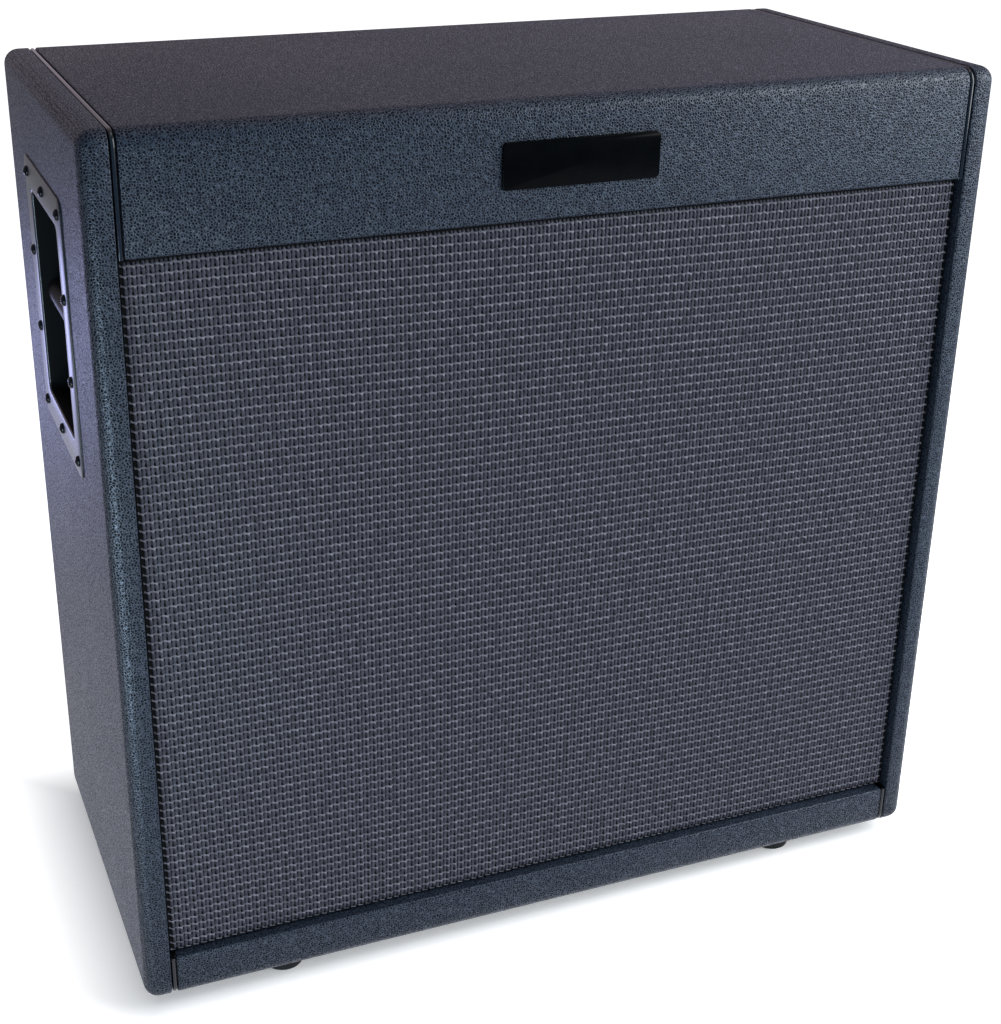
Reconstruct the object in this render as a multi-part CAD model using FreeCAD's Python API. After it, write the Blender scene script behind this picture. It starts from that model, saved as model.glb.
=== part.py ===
import FreeCAD, Part
import math
import os

# Guitar speaker cabinet with four 12 inch loudspeakers, in millimetres.
# +X is to the right seen from the front, +Y to the rear, +Z up. The feet stand on z = 0.

# Box
CABINET_WIDTH = 770.0
CABINET_DEPTH = 371.0
BOX_HEIGHT = 753.0
EDGE_RADIUS = 13.0
PLY = 20.0
VINYL = 1.2
VALANCE_HEIGHT = 93.5
RAIL_HEIGHT = 41.5
FRONT_BOARD = 20.0

# Grooves for the piping
GROOVE_WIDTH = 5.7
GROOVE_DEPTH = 4.6
BEAD_WIDTH = 4.2
BEAD_SUNK = 0.3
BEAD_BEVEL = 1.2
BEAD_FLOOR_GAP = 0.1

# Baffle and grille
BAFFLE = 18.0
GRILLE_RECESS = 9.0
GRILLE_GAP = 1.0
CLOTH = 1.0
GRILLE_RAIL_WIDTH = 28.0

# Badge plate
BADGE_WIDTH = 134.0
BADGE_HEIGHT = 37.0
BADGE_THICKNESS = 2.5
BADGE_RADIUS = 4.0
BADGE_BEVEL = 0.8
BADGE_ABOVE_OPENING = 44.5

# Back panel
BACK_PLY = 15.0
BACK_RECESS = 5.0
BACK_GAP = 0.5
BATTEN = 20.0
BACK_SCREW_INSET = 11.0
BACK_SCREW_COLUMN_COUNT = 4
BACK_SCREW_ROW_COUNT = 5
BRACE = 45.0

# Recessed handles
HANDLE_WIDTH = 178.0
HANDLE_HEIGHT = 229.0
HANDLE_CORNER = 10.0
HANDLE_FLANGE = 1.6
HANDLE_RIM = 26.0
HANDLE_DEPTH = 72.0
HANDLE_WALL = 1.5
HANDLE_MOUTH_BEVEL = 2.5
HANDLE_INNER_CORNER = 8.0
HANDLE_CUTOUT_GAP = 1.2
HANDLE_BELOW_TOP = 186.0
GRIP_RADIUS = 10.0
GRIP_RECESS = 6.5
HANDLE_SCREW_INSET = 13.0
HANDLE_SCREW_ROW_COUNT = 4

# Screw heads
SCREW_HEAD_SIDES = 8
SCREW_HEAD_RADIUS = 4.6
SCREW_HEAD_HEIGHT = 3.2
SMALL_HEAD_RADIUS = 3.2
SMALL_HEAD_HEIGHT = 2.0

# Rubber feet
FOOT_HEIGHT = 16.0
FOOT_RADIUS = 19.0
FOOT_BEVEL = 2.5
FOOT_WELL_RADIUS = 7.0
FOOT_WELL_DEPTH = 9.0
FOOT_SPREAD = 508.0
FOOT_INSET = 36.0
FOOT_HEAD_RADIUS = 5.5
FOOT_HEAD_HEIGHT = 3.0

# Loudspeakers: depths run to the rear from the front face of the flange
TURNED_SIDES = 20
SPEAKER_FLOOR_GAP = 13.0
SPEAKER_GAP_X = 35.0
SPEAKER_GAP_Z = 2.0
CUTOUT_RADIUS = 141.5
FLANGE_RADIUS = 154.5
FLANGE_BORE = 136.0
FLANGE = 2.0
SPOKES = 8
SPOKE_WIDTH = 26.0
SPOKE_THICKNESS = 4.0
SPOKE_BURIED = 2.0
SEAT_FLATS = 150.0
SEAT_BORE = 58.0
SEAT_HEIGHT = 4.0
MOTOR_DEPTH = 78.0
MAGNET_RADIUS = 72.0
MAGNET_HEIGHT = 32.0
POLE_RADIUS = 20.9
GAP_RADIUS = 23.4
GAP_DEPTH = 24.0
CONE_RADIUS = 120.0
CONE_SET_BACK = 0.3
CONE_THICKNESS = 1.2
CONE_DEPTH = 62.0
FORMER_RADIUS = 22.6
FORMER_WALL = 1.0
FORMER_LENGTH = 25.0
CAP_RADIUS = 42.0
CAP_RISE = 15.0
CAP_WALL = 1.0
SURROUND_LAP = 5.0
SURROUND_ROLL = 6.0
SURROUND_THICKNESS = 1.0
SURROUND_ON_CONE = 4.0
SPIDER_THICKNESS = 0.8
SPIDER_LAP = 7.0
SPIDER_WAVE = 3.0
GLUE_GAP = 0.3
BOLT_CIRCLE_RADIUS = 148.5
BOLTS = 4
NUT_SIDES = 6
NUT_FLATS = 8.0
NUT_HEIGHT = 5.0

# Jack cup on the back panel
CUP_WIDTH = 130.0
CUP_HEIGHT = 84.0
CUP_CORNER = 8.0
CUP_FLANGE = 2.5
CUP_RIM = 13.0
CUP_DEPTH = 34.0
CUP_WALL = 2.0
CUP_CUTOUT_GAP = 1.0
CUP_BELOW_TOP = 212.0
CUP_SCREW_INSET = 6.5
JACK_SPREAD = 68.0
JACK_BORE = 3.25
JACK_BUSH_RADIUS = 4.7
JACK_BUSH_LENGTH = 9.0
JACK_HOLE_CLEARANCE = 0.1
JACK_BODY_WIDTH = 20.0
JACK_BODY_HEIGHT = 22.0
JACK_BODY_LENGTH = 26.0
JACK_BORE_LENGTH = 30.0
JACK_NUT_FLATS = 13.0
JACK_NUT_HEIGHT = 2.6
SWITCH_WIDTH = 30.0
SWITCH_HEIGHT = 14.0
SWITCH_LENGTH = 14.0
LEVER_WIDTH = 7.0
LEVER_HEIGHT = 5.0
LEVER_PROUD = 7.0
LEVER_SEAT = 8.0
LEVER_TRAVEL = 6.0
LEVER_CLEARANCE = 0.3

# Derived planes
FRONT_Y = (BADGE_THICKNESS - CABINET_DEPTH) / 2
REAR_Y = FRONT_Y + CABINET_DEPTH
BOX_BOTTOM = FOOT_HEIGHT
BOX_TOP = FOOT_HEIGHT + BOX_HEIGHT
SIDE_X = CABINET_WIDTH / 2
SIDE_INNER_X = SIDE_X - VINYL - PLY
POST_X = SIDE_INNER_X - VINYL
SHEET_X = POST_X - GROOVE_WIDTH
SHOULDER_X = SHEET_X - VINYL
BEAD_X = (POST_X + SHEET_X) / 2
TOP_INNER_Z = BOX_TOP - VINYL - PLY
BOTTOM_INNER_Z = BOX_BOTTOM + VINYL + PLY
OPENING_TOP = BOX_TOP - VALANCE_HEIGHT
OPENING_BOTTOM = BOX_BOTTOM + RAIL_HEIGHT
BAFFLE_Y = FRONT_Y + VINYL + FRONT_BOARD
SPEAKER_Y = BAFFLE_Y + BAFFLE
SPEAKER_HALF_X = FLANGE_RADIUS + SPEAKER_GAP_X / 2
SPEAKER_HALF_Z = FLANGE_RADIUS + SPEAKER_GAP_Z / 2
SPEAKER_MID_Z = BOTTOM_INNER_Z + SPEAKER_FLOOR_GAP + FLANGE_RADIUS + SPEAKER_HALF_Z
BACK_FACE_Y = REAR_Y - BACK_RECESS
BACK_INNER_Y = BACK_FACE_Y - VINYL - BACK_PLY
BACK_HALF_WIDTH = POST_X - BACK_GAP
BACK_BOTTOM = BOTTOM_INNER_Z + BACK_GAP
BACK_TOP = TOP_INNER_Z - BACK_GAP
MID_Y = (FRONT_Y + REAR_Y) / 2
HANDLE_Z = BOX_TOP - HANDLE_BELOW_TOP
CUP_Z = BOX_TOP - CUP_BELOW_TOP
CUP_FLOOR_Y = BACK_FACE_Y - CUP_DEPTH

X_AXIS = FreeCAD.Vector(1, 0, 0)
Y_AXIS = FreeCAD.Vector(0, 1, 0)
Z_AXIS = FreeCAD.Vector(0, 0, 1)


def at(x, y, z):
    return FreeCAD.Vector(x, y, z)


def box(x_range, y_range, z_range):
    low = at(min(x_range), min(y_range), min(z_range))
    sizes = [abs(span[1] - span[0]) for span in (x_range, y_range, z_range)]
    return Part.makeBox(sizes[0], sizes[1], sizes[2], low)


def joined(shapes):
    first = shapes[0]
    return first.multiFuse(shapes[1:]).removeSplitter() if len(shapes) > 1 else first


def group(shapes):
    return Part.makeCompound(shapes)


def mirrored(shape):
    return shape.mirror(at(0, 0, 0), X_AXIS)


def cabinet_body(inset):
    """The cabinet's outer body, set in from the vinyl's surface."""
    return box(
        (inset - SIDE_X, SIDE_X - inset),
        (FRONT_Y + inset, REAR_Y - inset),
        (BOX_BOTTOM + inset, BOX_TOP - inset),
    )


def rounded_body():
    body = cabinet_body(0)
    return body.makeFillet(EDGE_RADIUS, body.Edges)


def bevelled_body(inset):
    """The body inside the vinyl; its bevels stay within the vinyl's rounded edges."""
    body = cabinet_body(inset)
    return body.makeChamfer(EDGE_RADIUS - inset, body.Edges)


def between(x_low, x_high):
    """A tall slice of space between two X planes."""
    return box((x_low, x_high), (FRONT_Y, REAR_Y), (BOX_BOTTOM, BOX_TOP))


def rounded_plate(width, height, radius, thickness):
    """A plate in the YZ plane, centred on the origin, that grows along +X."""
    plate = box((0, thickness), (-width / 2, width / 2), (-height / 2, height / 2))
    corners = [edge for edge in plate.Edges if abs(edge.tangentAt(edge.FirstParameter).x) > 0.9]
    return plate.makeFillet(radius, corners)


def turned(points, centre, direction):
    """A turned piece from (radius, depth) points; depth runs along the direction from the centre.

    It has a row of flat sides in place of a round one, which keeps the many loudspeaker pieces light.
    """
    side = X_AXIS if abs(direction.x) < 0.5 else Z_AXIS
    other = direction.cross(side)

    def corner(radius, depth, index):
        angle = (index + 0.5) * 2 * math.pi / TURNED_SIDES
        out = side * (radius * math.cos(angle)) + other * (radius * math.sin(angle))
        return centre + out + direction * depth

    faces = []
    for start, end in zip(points, points[1:] + points[:1]):
        for index in range(TURNED_SIDES):
            loop = [corner(*start, index), corner(*end, index)]
            if end[0] > 0:
                loop.append(corner(*end, index + 1))
            if start[0] > 0:
                loop.append(corner(*start, index + 1))
            if len(loop) > 2:
                faces.append(Part.Face(Part.makePolygon(loop + loop[:1])))
    shell = Part.makeShell(faces)
    shell.sewShape()
    solid = Part.makeSolid(shell).removeSplitter()
    return solid if solid.Volume > 0 else solid.reversed()


def screw_head(centre, direction, radius, height):
    """A screw head that seats on a face at the centre and stands along the direction."""
    return prism(centre, direction, SCREW_HEAD_SIDES, 2 * radius, height)


def prism(centre, direction, sides, flats, height):
    """A prism with equal sides on a face at the centre; one of its flats faces the first side axis."""
    corner_radius = flats / 2 / math.cos(math.pi / sides)
    side = X_AXIS if abs(direction.x) < 0.5 else Z_AXIS
    other = direction.cross(side)
    corners = []
    for index in range(sides + 1):
        angle = (index + 0.5) * 2 * math.pi / sides
        corners.append(centre + side * (corner_radius * math.cos(angle)) + other * (corner_radius * math.sin(angle)))
    return Part.Face(Part.makePolygon(corners)).extrude(direction * height)


# Box boards and their vinyl

OUTER = rounded_body()
WOOD = bevelled_body(VINYL)
CORE = bevelled_body(GROOVE_DEPTH)


def handle_space(gap):
    """The room that the left handle's dish takes up, widened by a gap."""
    width = HANDLE_WIDTH - 2 * HANDLE_RIM + 2 * HANDLE_WALL + 2 * gap
    height = HANDLE_HEIGHT - 2 * HANDLE_RIM + 2 * HANDLE_WALL + 2 * gap
    space = rounded_plate(width, height, HANDLE_INNER_CORNER + HANDLE_WALL + gap, HANDLE_DEPTH)
    space.translate(at(-SIDE_X, MID_Y, HANDLE_Z))
    return space


def left_side_panel():
    panel = WOOD.common(between(-SIDE_X, -SIDE_INNER_X))
    return panel.cut(handle_space(HANDLE_CUTOUT_GAP))


def left_covering():
    skin = OUTER.common(between(-SIDE_X, -POST_X))
    skin = skin.cut(WOOD.common(between(-SIDE_X, -SIDE_INNER_X)))
    skin = skin.cut(CORE.common(between(-SIDE_INNER_X, -POST_X)))
    post_return = box(
        (-SIDE_INNER_X, -POST_X),
        (FRONT_Y + GROOVE_DEPTH, BAFFLE_Y),
        (OPENING_BOTTOM, OPENING_TOP),
    )
    return joined([skin, post_return]).cut(handle_space(HANDLE_CUTOUT_GAP))


def grooved_wood():
    """Wood between the sides: full height inside the groove shoulders, lower under the grooves."""
    return WOOD.common(between(-SHOULDER_X, SHOULDER_X)).fuse(CORE.common(between(-SIDE_INNER_X, SIDE_INNER_X)))


def wrapped_vinyl():
    """Vinyl ring round the wood between the grooves, with its edges turned down into them."""
    ring = OUTER.common(between(-SHEET_X, SHEET_X))
    ring = ring.cut(WOOD.common(between(-SHOULDER_X, SHOULDER_X)))
    return ring.cut(CORE.common(between(-SHEET_X, SHEET_X)))


GROOVED_WOOD = grooved_wood()
VINYL_RING = wrapped_vinyl()
ALL_Y = (FRONT_Y, REAR_Y)
ALL_X = (-SIDE_X, SIDE_X)
FRONT_ZONE_Y = (FRONT_Y, BAFFLE_Y)
TOP_ZONE = box(ALL_X, ALL_Y, (TOP_INNER_Z, BOX_TOP))
VALANCE_ZONE = box(ALL_X, FRONT_ZONE_Y, (OPENING_TOP, TOP_INNER_Z))
BOTTOM_ZONE = box(ALL_X, ALL_Y, (BOX_BOTTOM, BOTTOM_INNER_Z))
RAIL_ZONE = box(ALL_X, FRONT_ZONE_Y, (BOTTOM_INNER_Z, OPENING_BOTTOM))


def board_in(zone):
    return GROOVED_WOOD.common(zone).removeSplitter()


def top_covering():
    under_valance = box((-SHEET_X, SHEET_X), (FRONT_Y, BAFFLE_Y), (OPENING_TOP, OPENING_TOP + VINYL))
    skin = VINYL_RING.common(joined([TOP_ZONE, VALANCE_ZONE]))
    return joined([skin, under_valance])


def bottom_covering():
    over_rail = box((-SHEET_X, SHEET_X), (FRONT_Y, BAFFLE_Y), (OPENING_BOTTOM - VINYL, OPENING_BOTTOM))
    skin = VINYL_RING.common(joined([BOTTOM_ZONE, RAIL_ZONE]))
    return joined([skin, over_rail])


def valance_board():
    return board_in(VALANCE_ZONE).cut(box(ALL_X, ALL_Y, (OPENING_TOP, OPENING_TOP + VINYL)))


def bottom_rail():
    return board_in(RAIL_ZONE).cut(box(ALL_X, ALL_Y, (OPENING_BOTTOM - VINYL, OPENING_BOTTOM)))


# Piping

BEAD_HEIGHT = GROOVE_DEPTH - BEAD_SUNK - BEAD_FLOOR_GAP
BEAD_INSET = BEAD_SUNK + BEAD_HEIGHT / 2


def left_piping(front_end_z, rear_end_z, level):
    """A bead that runs up or down the front, round the edge, back along the box and round the rear edge."""
    bend = EDGE_RADIUS - BEAD_INSET
    away = 1 if level > SPEAKER_MID_Z else -1
    flat_z = level - away * BEAD_INSET
    front_y = FRONT_Y + BEAD_INSET
    rear_y = REAR_Y - BEAD_INSET
    slant = bend * (1 - math.sqrt(0.5))
    stations = [
        at(-BEAD_X, front_y, front_end_z),
        at(-BEAD_X, front_y, flat_z - away * bend),
        at(-BEAD_X, front_y + slant, flat_z - away * slant),
        at(-BEAD_X, front_y + bend, flat_z),
        at(-BEAD_X, rear_y - bend, flat_z),
        at(-BEAD_X, rear_y - slant, flat_z - away * slant),
        at(-BEAD_X, rear_y, flat_z - away * bend),
        at(-BEAD_X, rear_y, rear_end_z),
    ]
    path = Part.Wire([
        Part.makeLine(stations[0], stations[1]),
        Part.Arc(stations[1], stations[2], stations[3]).toShape(),
        Part.makeLine(stations[3], stations[4]),
        Part.Arc(stations[4], stations[5], stations[6]).toShape(),
        Part.makeLine(stations[6], stations[7]),
    ])
    half_width = BEAD_WIDTH / 2
    half_height = BEAD_HEIGHT / 2
    corners = [
        (-half_width, -half_height),
        (half_width, -half_height),
        (half_width, half_height - BEAD_BEVEL),
        (half_width - BEAD_BEVEL, half_height),
        (BEAD_BEVEL - half_width, half_height),
        (-half_width, half_height - BEAD_BEVEL),
    ]
    points = [stations[0] + at(across, -out, 0) for across, out in corners + corners[:1]]
    return path.makePipeShell([Part.makePolygon(points)], True, False)


# Baffle and grille

def speaker_places():
    """Centres of the four loudspeakers on the baffle's rear face, in reading order seen from the front."""
    places = []
    for up in (1, -1):
        for right in (-1, 1):
            places.append(at(right * SPEAKER_HALF_X, SPEAKER_Y, SPEAKER_MID_Z + up * SPEAKER_HALF_Z))
    return places


def baffle_board():
    board = box((-SIDE_INNER_X, SIDE_INNER_X), (BAFFLE_Y, SPEAKER_Y), (BOTTOM_INNER_Z, TOP_INNER_Z))
    holes = [Part.makeCylinder(CUTOUT_RADIUS, BAFFLE, place - Y_AXIS * BAFFLE, Y_AXIS) for place in speaker_places()]
    return board.cut(group(holes))


CLOTH_X = POST_X - GRILLE_GAP
CLOTH_BOTTOM = OPENING_BOTTOM + GRILLE_GAP
CLOTH_TOP = OPENING_TOP - GRILLE_GAP
CLOTH_Y = FRONT_Y + GRILLE_RECESS
FRAME_Y = (CLOTH_Y + CLOTH, BAFFLE_Y)
FRAME_X = CLOTH_X - CLOTH
FRAME_BOTTOM = CLOTH_BOTTOM + CLOTH
FRAME_TOP = CLOTH_TOP - CLOTH


def grille_frame():
    rail = GRILLE_RAIL_WIDTH
    stile_z = (FRAME_BOTTOM + rail, FRAME_TOP - rail)
    bars = [
        box((-FRAME_X, FRAME_X), FRAME_Y, (FRAME_BOTTOM, FRAME_BOTTOM + rail)),
        box((-FRAME_X, FRAME_X), FRAME_Y, (FRAME_TOP - rail, FRAME_TOP)),
        box((-FRAME_X, rail - FRAME_X), FRAME_Y, stile_z),
        box((FRAME_X - rail, FRAME_X), FRAME_Y, stile_z),
        box((-rail / 2, rail / 2), FRAME_Y, stile_z),
    ]
    return group(bars)


def grille_cloth():
    """Cloth drawn over the frame's front and round its edges to the baffle."""
    wrapped = box((-CLOTH_X, CLOTH_X), (CLOTH_Y, BAFFLE_Y), (CLOTH_BOTTOM, CLOTH_TOP))
    return wrapped.cut(box((-FRAME_X, FRAME_X), FRAME_Y, (FRAME_BOTTOM, FRAME_TOP)))


def badge_plate():
    plate = rounded_plate(BADGE_WIDTH, BADGE_HEIGHT, BADGE_RADIUS, BADGE_THICKNESS)
    front_edges = [edge for edge in plate.Edges if edge.BoundBox.XMin > BADGE_THICKNESS / 2]
    plate = plate.makeChamfer(BADGE_BEVEL, front_edges)
    plate.rotate(at(0, 0, 0), Z_AXIS, -90)
    plate.translate(at(0, FRONT_Y, OPENING_TOP + BADGE_ABOVE_OPENING))
    return plate


# Back panel, battens and brace

def cup_space(gap):
    """The room that the jack cup's tub takes up, widened by a gap."""
    width = CUP_WIDTH - 2 * CUP_RIM + 2 * CUP_WALL + 2 * gap
    height = CUP_HEIGHT - 2 * CUP_RIM + 2 * CUP_WALL + 2 * gap
    return box(
        (-width / 2, width / 2),
        (BACK_FACE_Y - CUP_DEPTH - CUP_WALL, BACK_FACE_Y),
        (CUP_Z - height / 2, CUP_Z + height / 2),
    )


def back_panel():
    panel = box(
        (VINYL - BACK_HALF_WIDTH, BACK_HALF_WIDTH - VINYL),
        (BACK_INNER_Y, BACK_FACE_Y - VINYL),
        (BACK_BOTTOM + VINYL, BACK_TOP - VINYL),
    )
    return panel.cut(cup_space(CUP_CUTOUT_GAP))


def back_covering():
    sheet = box((-BACK_HALF_WIDTH, BACK_HALF_WIDTH), (BACK_INNER_Y, BACK_FACE_Y), (BACK_BOTTOM, BACK_TOP))
    wood = box(
        (VINYL - BACK_HALF_WIDTH, BACK_HALF_WIDTH - VINYL),
        (BACK_INNER_Y, BACK_FACE_Y - VINYL),
        (BACK_BOTTOM + VINYL, BACK_TOP - VINYL),
    )
    return sheet.cut(wood).cut(cup_space(CUP_CUTOUT_GAP))


def back_battens():
    batten_y = (BACK_INNER_Y - BATTEN, BACK_INNER_Y)
    inner_x = SIDE_INNER_X - BATTEN
    upright_z = (BOTTOM_INNER_Z + BATTEN, TOP_INNER_Z - BATTEN)
    return group([
        box((-SIDE_INNER_X, SIDE_INNER_X), batten_y, (BOTTOM_INNER_Z, BOTTOM_INNER_Z + BATTEN)),
        box((-SIDE_INNER_X, SIDE_INNER_X), batten_y, (TOP_INNER_Z - BATTEN, TOP_INNER_Z)),
        box((-SIDE_INNER_X, -inner_x), batten_y, upright_z),
        box((inner_x, SIDE_INNER_X), batten_y, upright_z),
    ])


def centre_brace():
    half = BRACE / 2
    return box((-half, half), (SPEAKER_Y, BACK_INNER_Y), (SPEAKER_MID_Z - half, SPEAKER_MID_Z + half))


def spaced(low, high, count):
    step = (high - low) / (count - 1)
    return [low + step * index for index in range(count)]


def back_panel_screws():
    columns = spaced(BACK_SCREW_INSET - BACK_HALF_WIDTH, BACK_HALF_WIDTH - BACK_SCREW_INSET, BACK_SCREW_COLUMN_COUNT)
    rows = spaced(BACK_BOTTOM + BACK_SCREW_INSET, BACK_TOP - BACK_SCREW_INSET, BACK_SCREW_ROW_COUNT)
    places = [(x, z) for x in columns for z in (rows[0], rows[-1])]
    places += [(x, z) for x in (columns[0], columns[-1]) for z in rows[1:-1]]
    return group([
        screw_head(at(x, BACK_FACE_Y, z), Y_AXIS, SCREW_HEAD_RADIUS, SCREW_HEAD_HEIGHT)
        for x, z in places
    ])


# Handles

def left_handle_dish():
    opening_width = HANDLE_WIDTH - 2 * HANDLE_RIM
    opening_height = HANDLE_HEIGHT - 2 * HANDLE_RIM
    flange = rounded_plate(HANDLE_WIDTH, HANDLE_HEIGHT, HANDLE_CORNER, HANDLE_FLANGE)
    tub = rounded_plate(
        opening_width + 2 * HANDLE_WALL,
        opening_height + 2 * HANDLE_WALL,
        HANDLE_INNER_CORNER + HANDLE_WALL,
        HANDLE_DEPTH,
    )
    hollow_depth = HANDLE_DEPTH - HANDLE_WALL
    hollow = rounded_plate(opening_width, opening_height, HANDLE_INNER_CORNER, hollow_depth)
    dish = joined([flange, tub]).cut(hollow)
    mouth = [
        edge for edge in dish.Edges
        if edge.BoundBox.XMax < HANDLE_FLANGE / 2
        and abs(edge.CenterOfMass.y) <= opening_width / 2 + HANDLE_FLANGE
        and abs(edge.CenterOfMass.z) <= opening_height / 2 + HANDLE_FLANGE
    ]
    dish = dish.makeChamfer(HANDLE_MOUTH_BEVEL, mouth)
    dish.translate(at(-SIDE_X - HANDLE_FLANGE, MID_Y, HANDLE_Z))
    return dish


def left_handle_bar():
    reach = HANDLE_WIDTH / 2 - HANDLE_RIM
    centre_x = -SIDE_X - HANDLE_FLANGE + GRIP_RECESS + GRIP_RADIUS
    return Part.makeCylinder(GRIP_RADIUS, 2 * reach, at(centre_x, MID_Y - reach, HANDLE_Z), Y_AXIS)


def left_handle_screws():
    half_width = HANDLE_WIDTH / 2 - HANDLE_SCREW_INSET
    half_height = HANDLE_HEIGHT / 2 - HANDLE_SCREW_INSET
    rows = spaced(-half_height, half_height, HANDLE_SCREW_ROW_COUNT)
    places = [(y, z) for y in (-half_width, half_width) for z in rows]
    places += [(0, -half_height), (0, half_height)]
    return group([
        screw_head(
            at(-SIDE_X - HANDLE_FLANGE, MID_Y + y, HANDLE_Z + z),
            -X_AXIS,
            SCREW_HEAD_RADIUS,
            SCREW_HEAD_HEIGHT,
        )
        for y, z in places
    ])


# Feet

def foot_places():
    return [
        at(x, y, BOX_BOTTOM)
        for x in (-FOOT_SPREAD / 2, FOOT_SPREAD / 2)
        for y in (FRONT_Y + FOOT_INSET, REAR_Y - FOOT_INSET)
    ]


def rubber_feet():
    profile = [
        (0, 0),
        (FOOT_RADIUS, 0),
        (FOOT_RADIUS, FOOT_HEIGHT - FOOT_BEVEL),
        (FOOT_RADIUS - FOOT_BEVEL, FOOT_HEIGHT),
        (FOOT_WELL_RADIUS, FOOT_HEIGHT),
        (FOOT_WELL_RADIUS, FOOT_HEIGHT - FOOT_WELL_DEPTH),
        (0, FOOT_HEIGHT - FOOT_WELL_DEPTH),
    ]
    return group([turned(profile, place, -Z_AXIS) for place in foot_places()])


def foot_screws():
    floor = FOOT_HEIGHT - FOOT_WELL_DEPTH
    return group([
        screw_head(place - Z_AXIS * floor, -Z_AXIS, FOOT_HEAD_RADIUS, FOOT_HEAD_HEIGHT)
        for place in foot_places()
    ])


# Loudspeakers

def basket(place):
    """Pressed frame: mounting flange, spokes and the seat that carries spider and magnet."""
    seat_front = MOTOR_DEPTH - SEAT_HEIGHT
    flange = turned(
        [(FLANGE_BORE, 0), (FLANGE_RADIUS, 0), (FLANGE_RADIUS, FLANGE), (FLANGE_BORE, FLANGE)],
        place,
        Y_AXIS,
    )
    seat_centre = place + Y_AXIS * seat_front
    seat = prism(seat_centre, Y_AXIS, SPOKES, SEAT_FLATS, SEAT_HEIGHT)
    seat = seat.cut(prism(seat_centre, Y_AXIS, TURNED_SIDES, 2 * SEAT_BORE, SEAT_HEIGHT))
    root_radius = FLANGE_BORE + SPOKE_BURIED
    foot_radius = SEAT_FLATS / 2 - SPOKE_BURIED
    outline = [
        (root_radius + SPOKE_THICKNESS, FLANGE / 2),
        (foot_radius, MOTOR_DEPTH - SPOKE_BURIED),
        (foot_radius - SPOKE_THICKNESS, seat_front + SPOKE_BURIED),
        (root_radius, FLANGE / 2),
    ]
    points = [place + at(radius, depth, -SPOKE_WIDTH / 2) for radius, depth in outline + outline[:1]]
    spoke = Part.Face(Part.makePolygon(points)).extrude(Z_AXIS * SPOKE_WIDTH)
    spokes = []
    for index in range(SPOKES):
        copy = spoke.copy()
        copy.rotate(place, Y_AXIS, 360 / SPOKES * index)
        spokes.append(copy)
    return joined([flange, seat] + spokes)


def magnet(place):
    """Magnet with its pole, and the ring gap that the voice coil moves in."""
    magnet_rear = MOTOR_DEPTH + MAGNET_HEIGHT
    return turned(
        [
            (0, MOTOR_DEPTH),
            (POLE_RADIUS, MOTOR_DEPTH),
            (POLE_RADIUS, MOTOR_DEPTH + GAP_DEPTH),
            (GAP_RADIUS, MOTOR_DEPTH + GAP_DEPTH),
            (GAP_RADIUS, MOTOR_DEPTH),
            (MAGNET_RADIUS, MOTOR_DEPTH),
            (MAGNET_RADIUS, magnet_rear),
            (0, magnet_rear),
        ],
        place,
        Y_AXIS,
    )


NECK_RADIUS = FORMER_RADIUS - FORMER_WALL
CONE_SLOPE = CONE_DEPTH / (CONE_RADIUS - NECK_RADIUS)


def cone_front(radius):
    """Depth of the paper's front face at a radius."""
    return CONE_SET_BACK + (CONE_RADIUS - radius) * CONE_SLOPE


def cone(place):
    """Paper cone with its dust cap and the tube that carries the voice coil."""
    cap_top = cone_front(CAP_RADIUS) - CAP_RISE
    cap_inner_radius = CAP_RADIUS - CAP_WALL / CONE_SLOPE
    former_end = cone_front(NECK_RADIUS) + FORMER_LENGTH
    return turned(
        [
            (CONE_RADIUS, CONE_SET_BACK),
            (CAP_RADIUS, cone_front(CAP_RADIUS)),
            (0, cap_top),
            (0, cap_top + CAP_WALL),
            (cap_inner_radius, cone_front(cap_inner_radius)),
            (NECK_RADIUS, cone_front(NECK_RADIUS)),
            (NECK_RADIUS, former_end),
            (FORMER_RADIUS, former_end),
            (FORMER_RADIUS, cone_front(FORMER_RADIUS) + CONE_THICKNESS),
            (CONE_RADIUS, CONE_SET_BACK + CONE_THICKNESS),
        ],
        place,
        Y_AXIS,
    )


def ribbed_ring(line, thickness, place):
    """A thin ring from its front line of (radius, depth) points."""
    rear_line = [(radius, depth + thickness) for radius, depth in reversed(line)]
    return turned(line + rear_line, place, Y_AXIS)


def surround(place):
    """Rolled edge from the flange to the cone's front face."""
    outer = FLANGE_BORE + SURROUND_LAP
    inner = CONE_RADIUS - SURROUND_ON_CONE
    front = -SURROUND_THICKNESS
    line = [
        (outer, front),
        ((inner + outer) / 2, front - SURROUND_ROLL),
        (inner, front + cone_front(inner) - GLUE_GAP),
    ]
    return ribbed_ring(line, SURROUND_THICKNESS, place)


def spider(place):
    """Rippled disc that centres the voice coil."""
    front = MOTOR_DEPTH - SEAT_HEIGHT - SPIDER_THICKNESS
    inner = FORMER_RADIUS + GLUE_GAP
    outer = SEAT_BORE + SPIDER_LAP
    line = [(outer, front), ((inner + outer) / 2, front - SPIDER_WAVE), (inner, front)]
    return ribbed_ring(line, SPIDER_THICKNESS, place)


def speaker_bolts():
    nuts = []
    for place in speaker_places():
        for index in range(BOLTS):
            angle = 2 * math.pi * (index + 0.5) / BOLTS
            offset = at(BOLT_CIRCLE_RADIUS * math.cos(angle), FLANGE, BOLT_CIRCLE_RADIUS * math.sin(angle))
            nuts.append(prism(place + offset, Y_AXIS, NUT_SIDES, NUT_FLATS, NUT_HEIGHT))
    return group(nuts)


# Jack cup

def jack_places():
    return [at(x, CUP_FLOOR_Y, CUP_Z) for x in (-JACK_SPREAD / 2, JACK_SPREAD / 2)]


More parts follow.
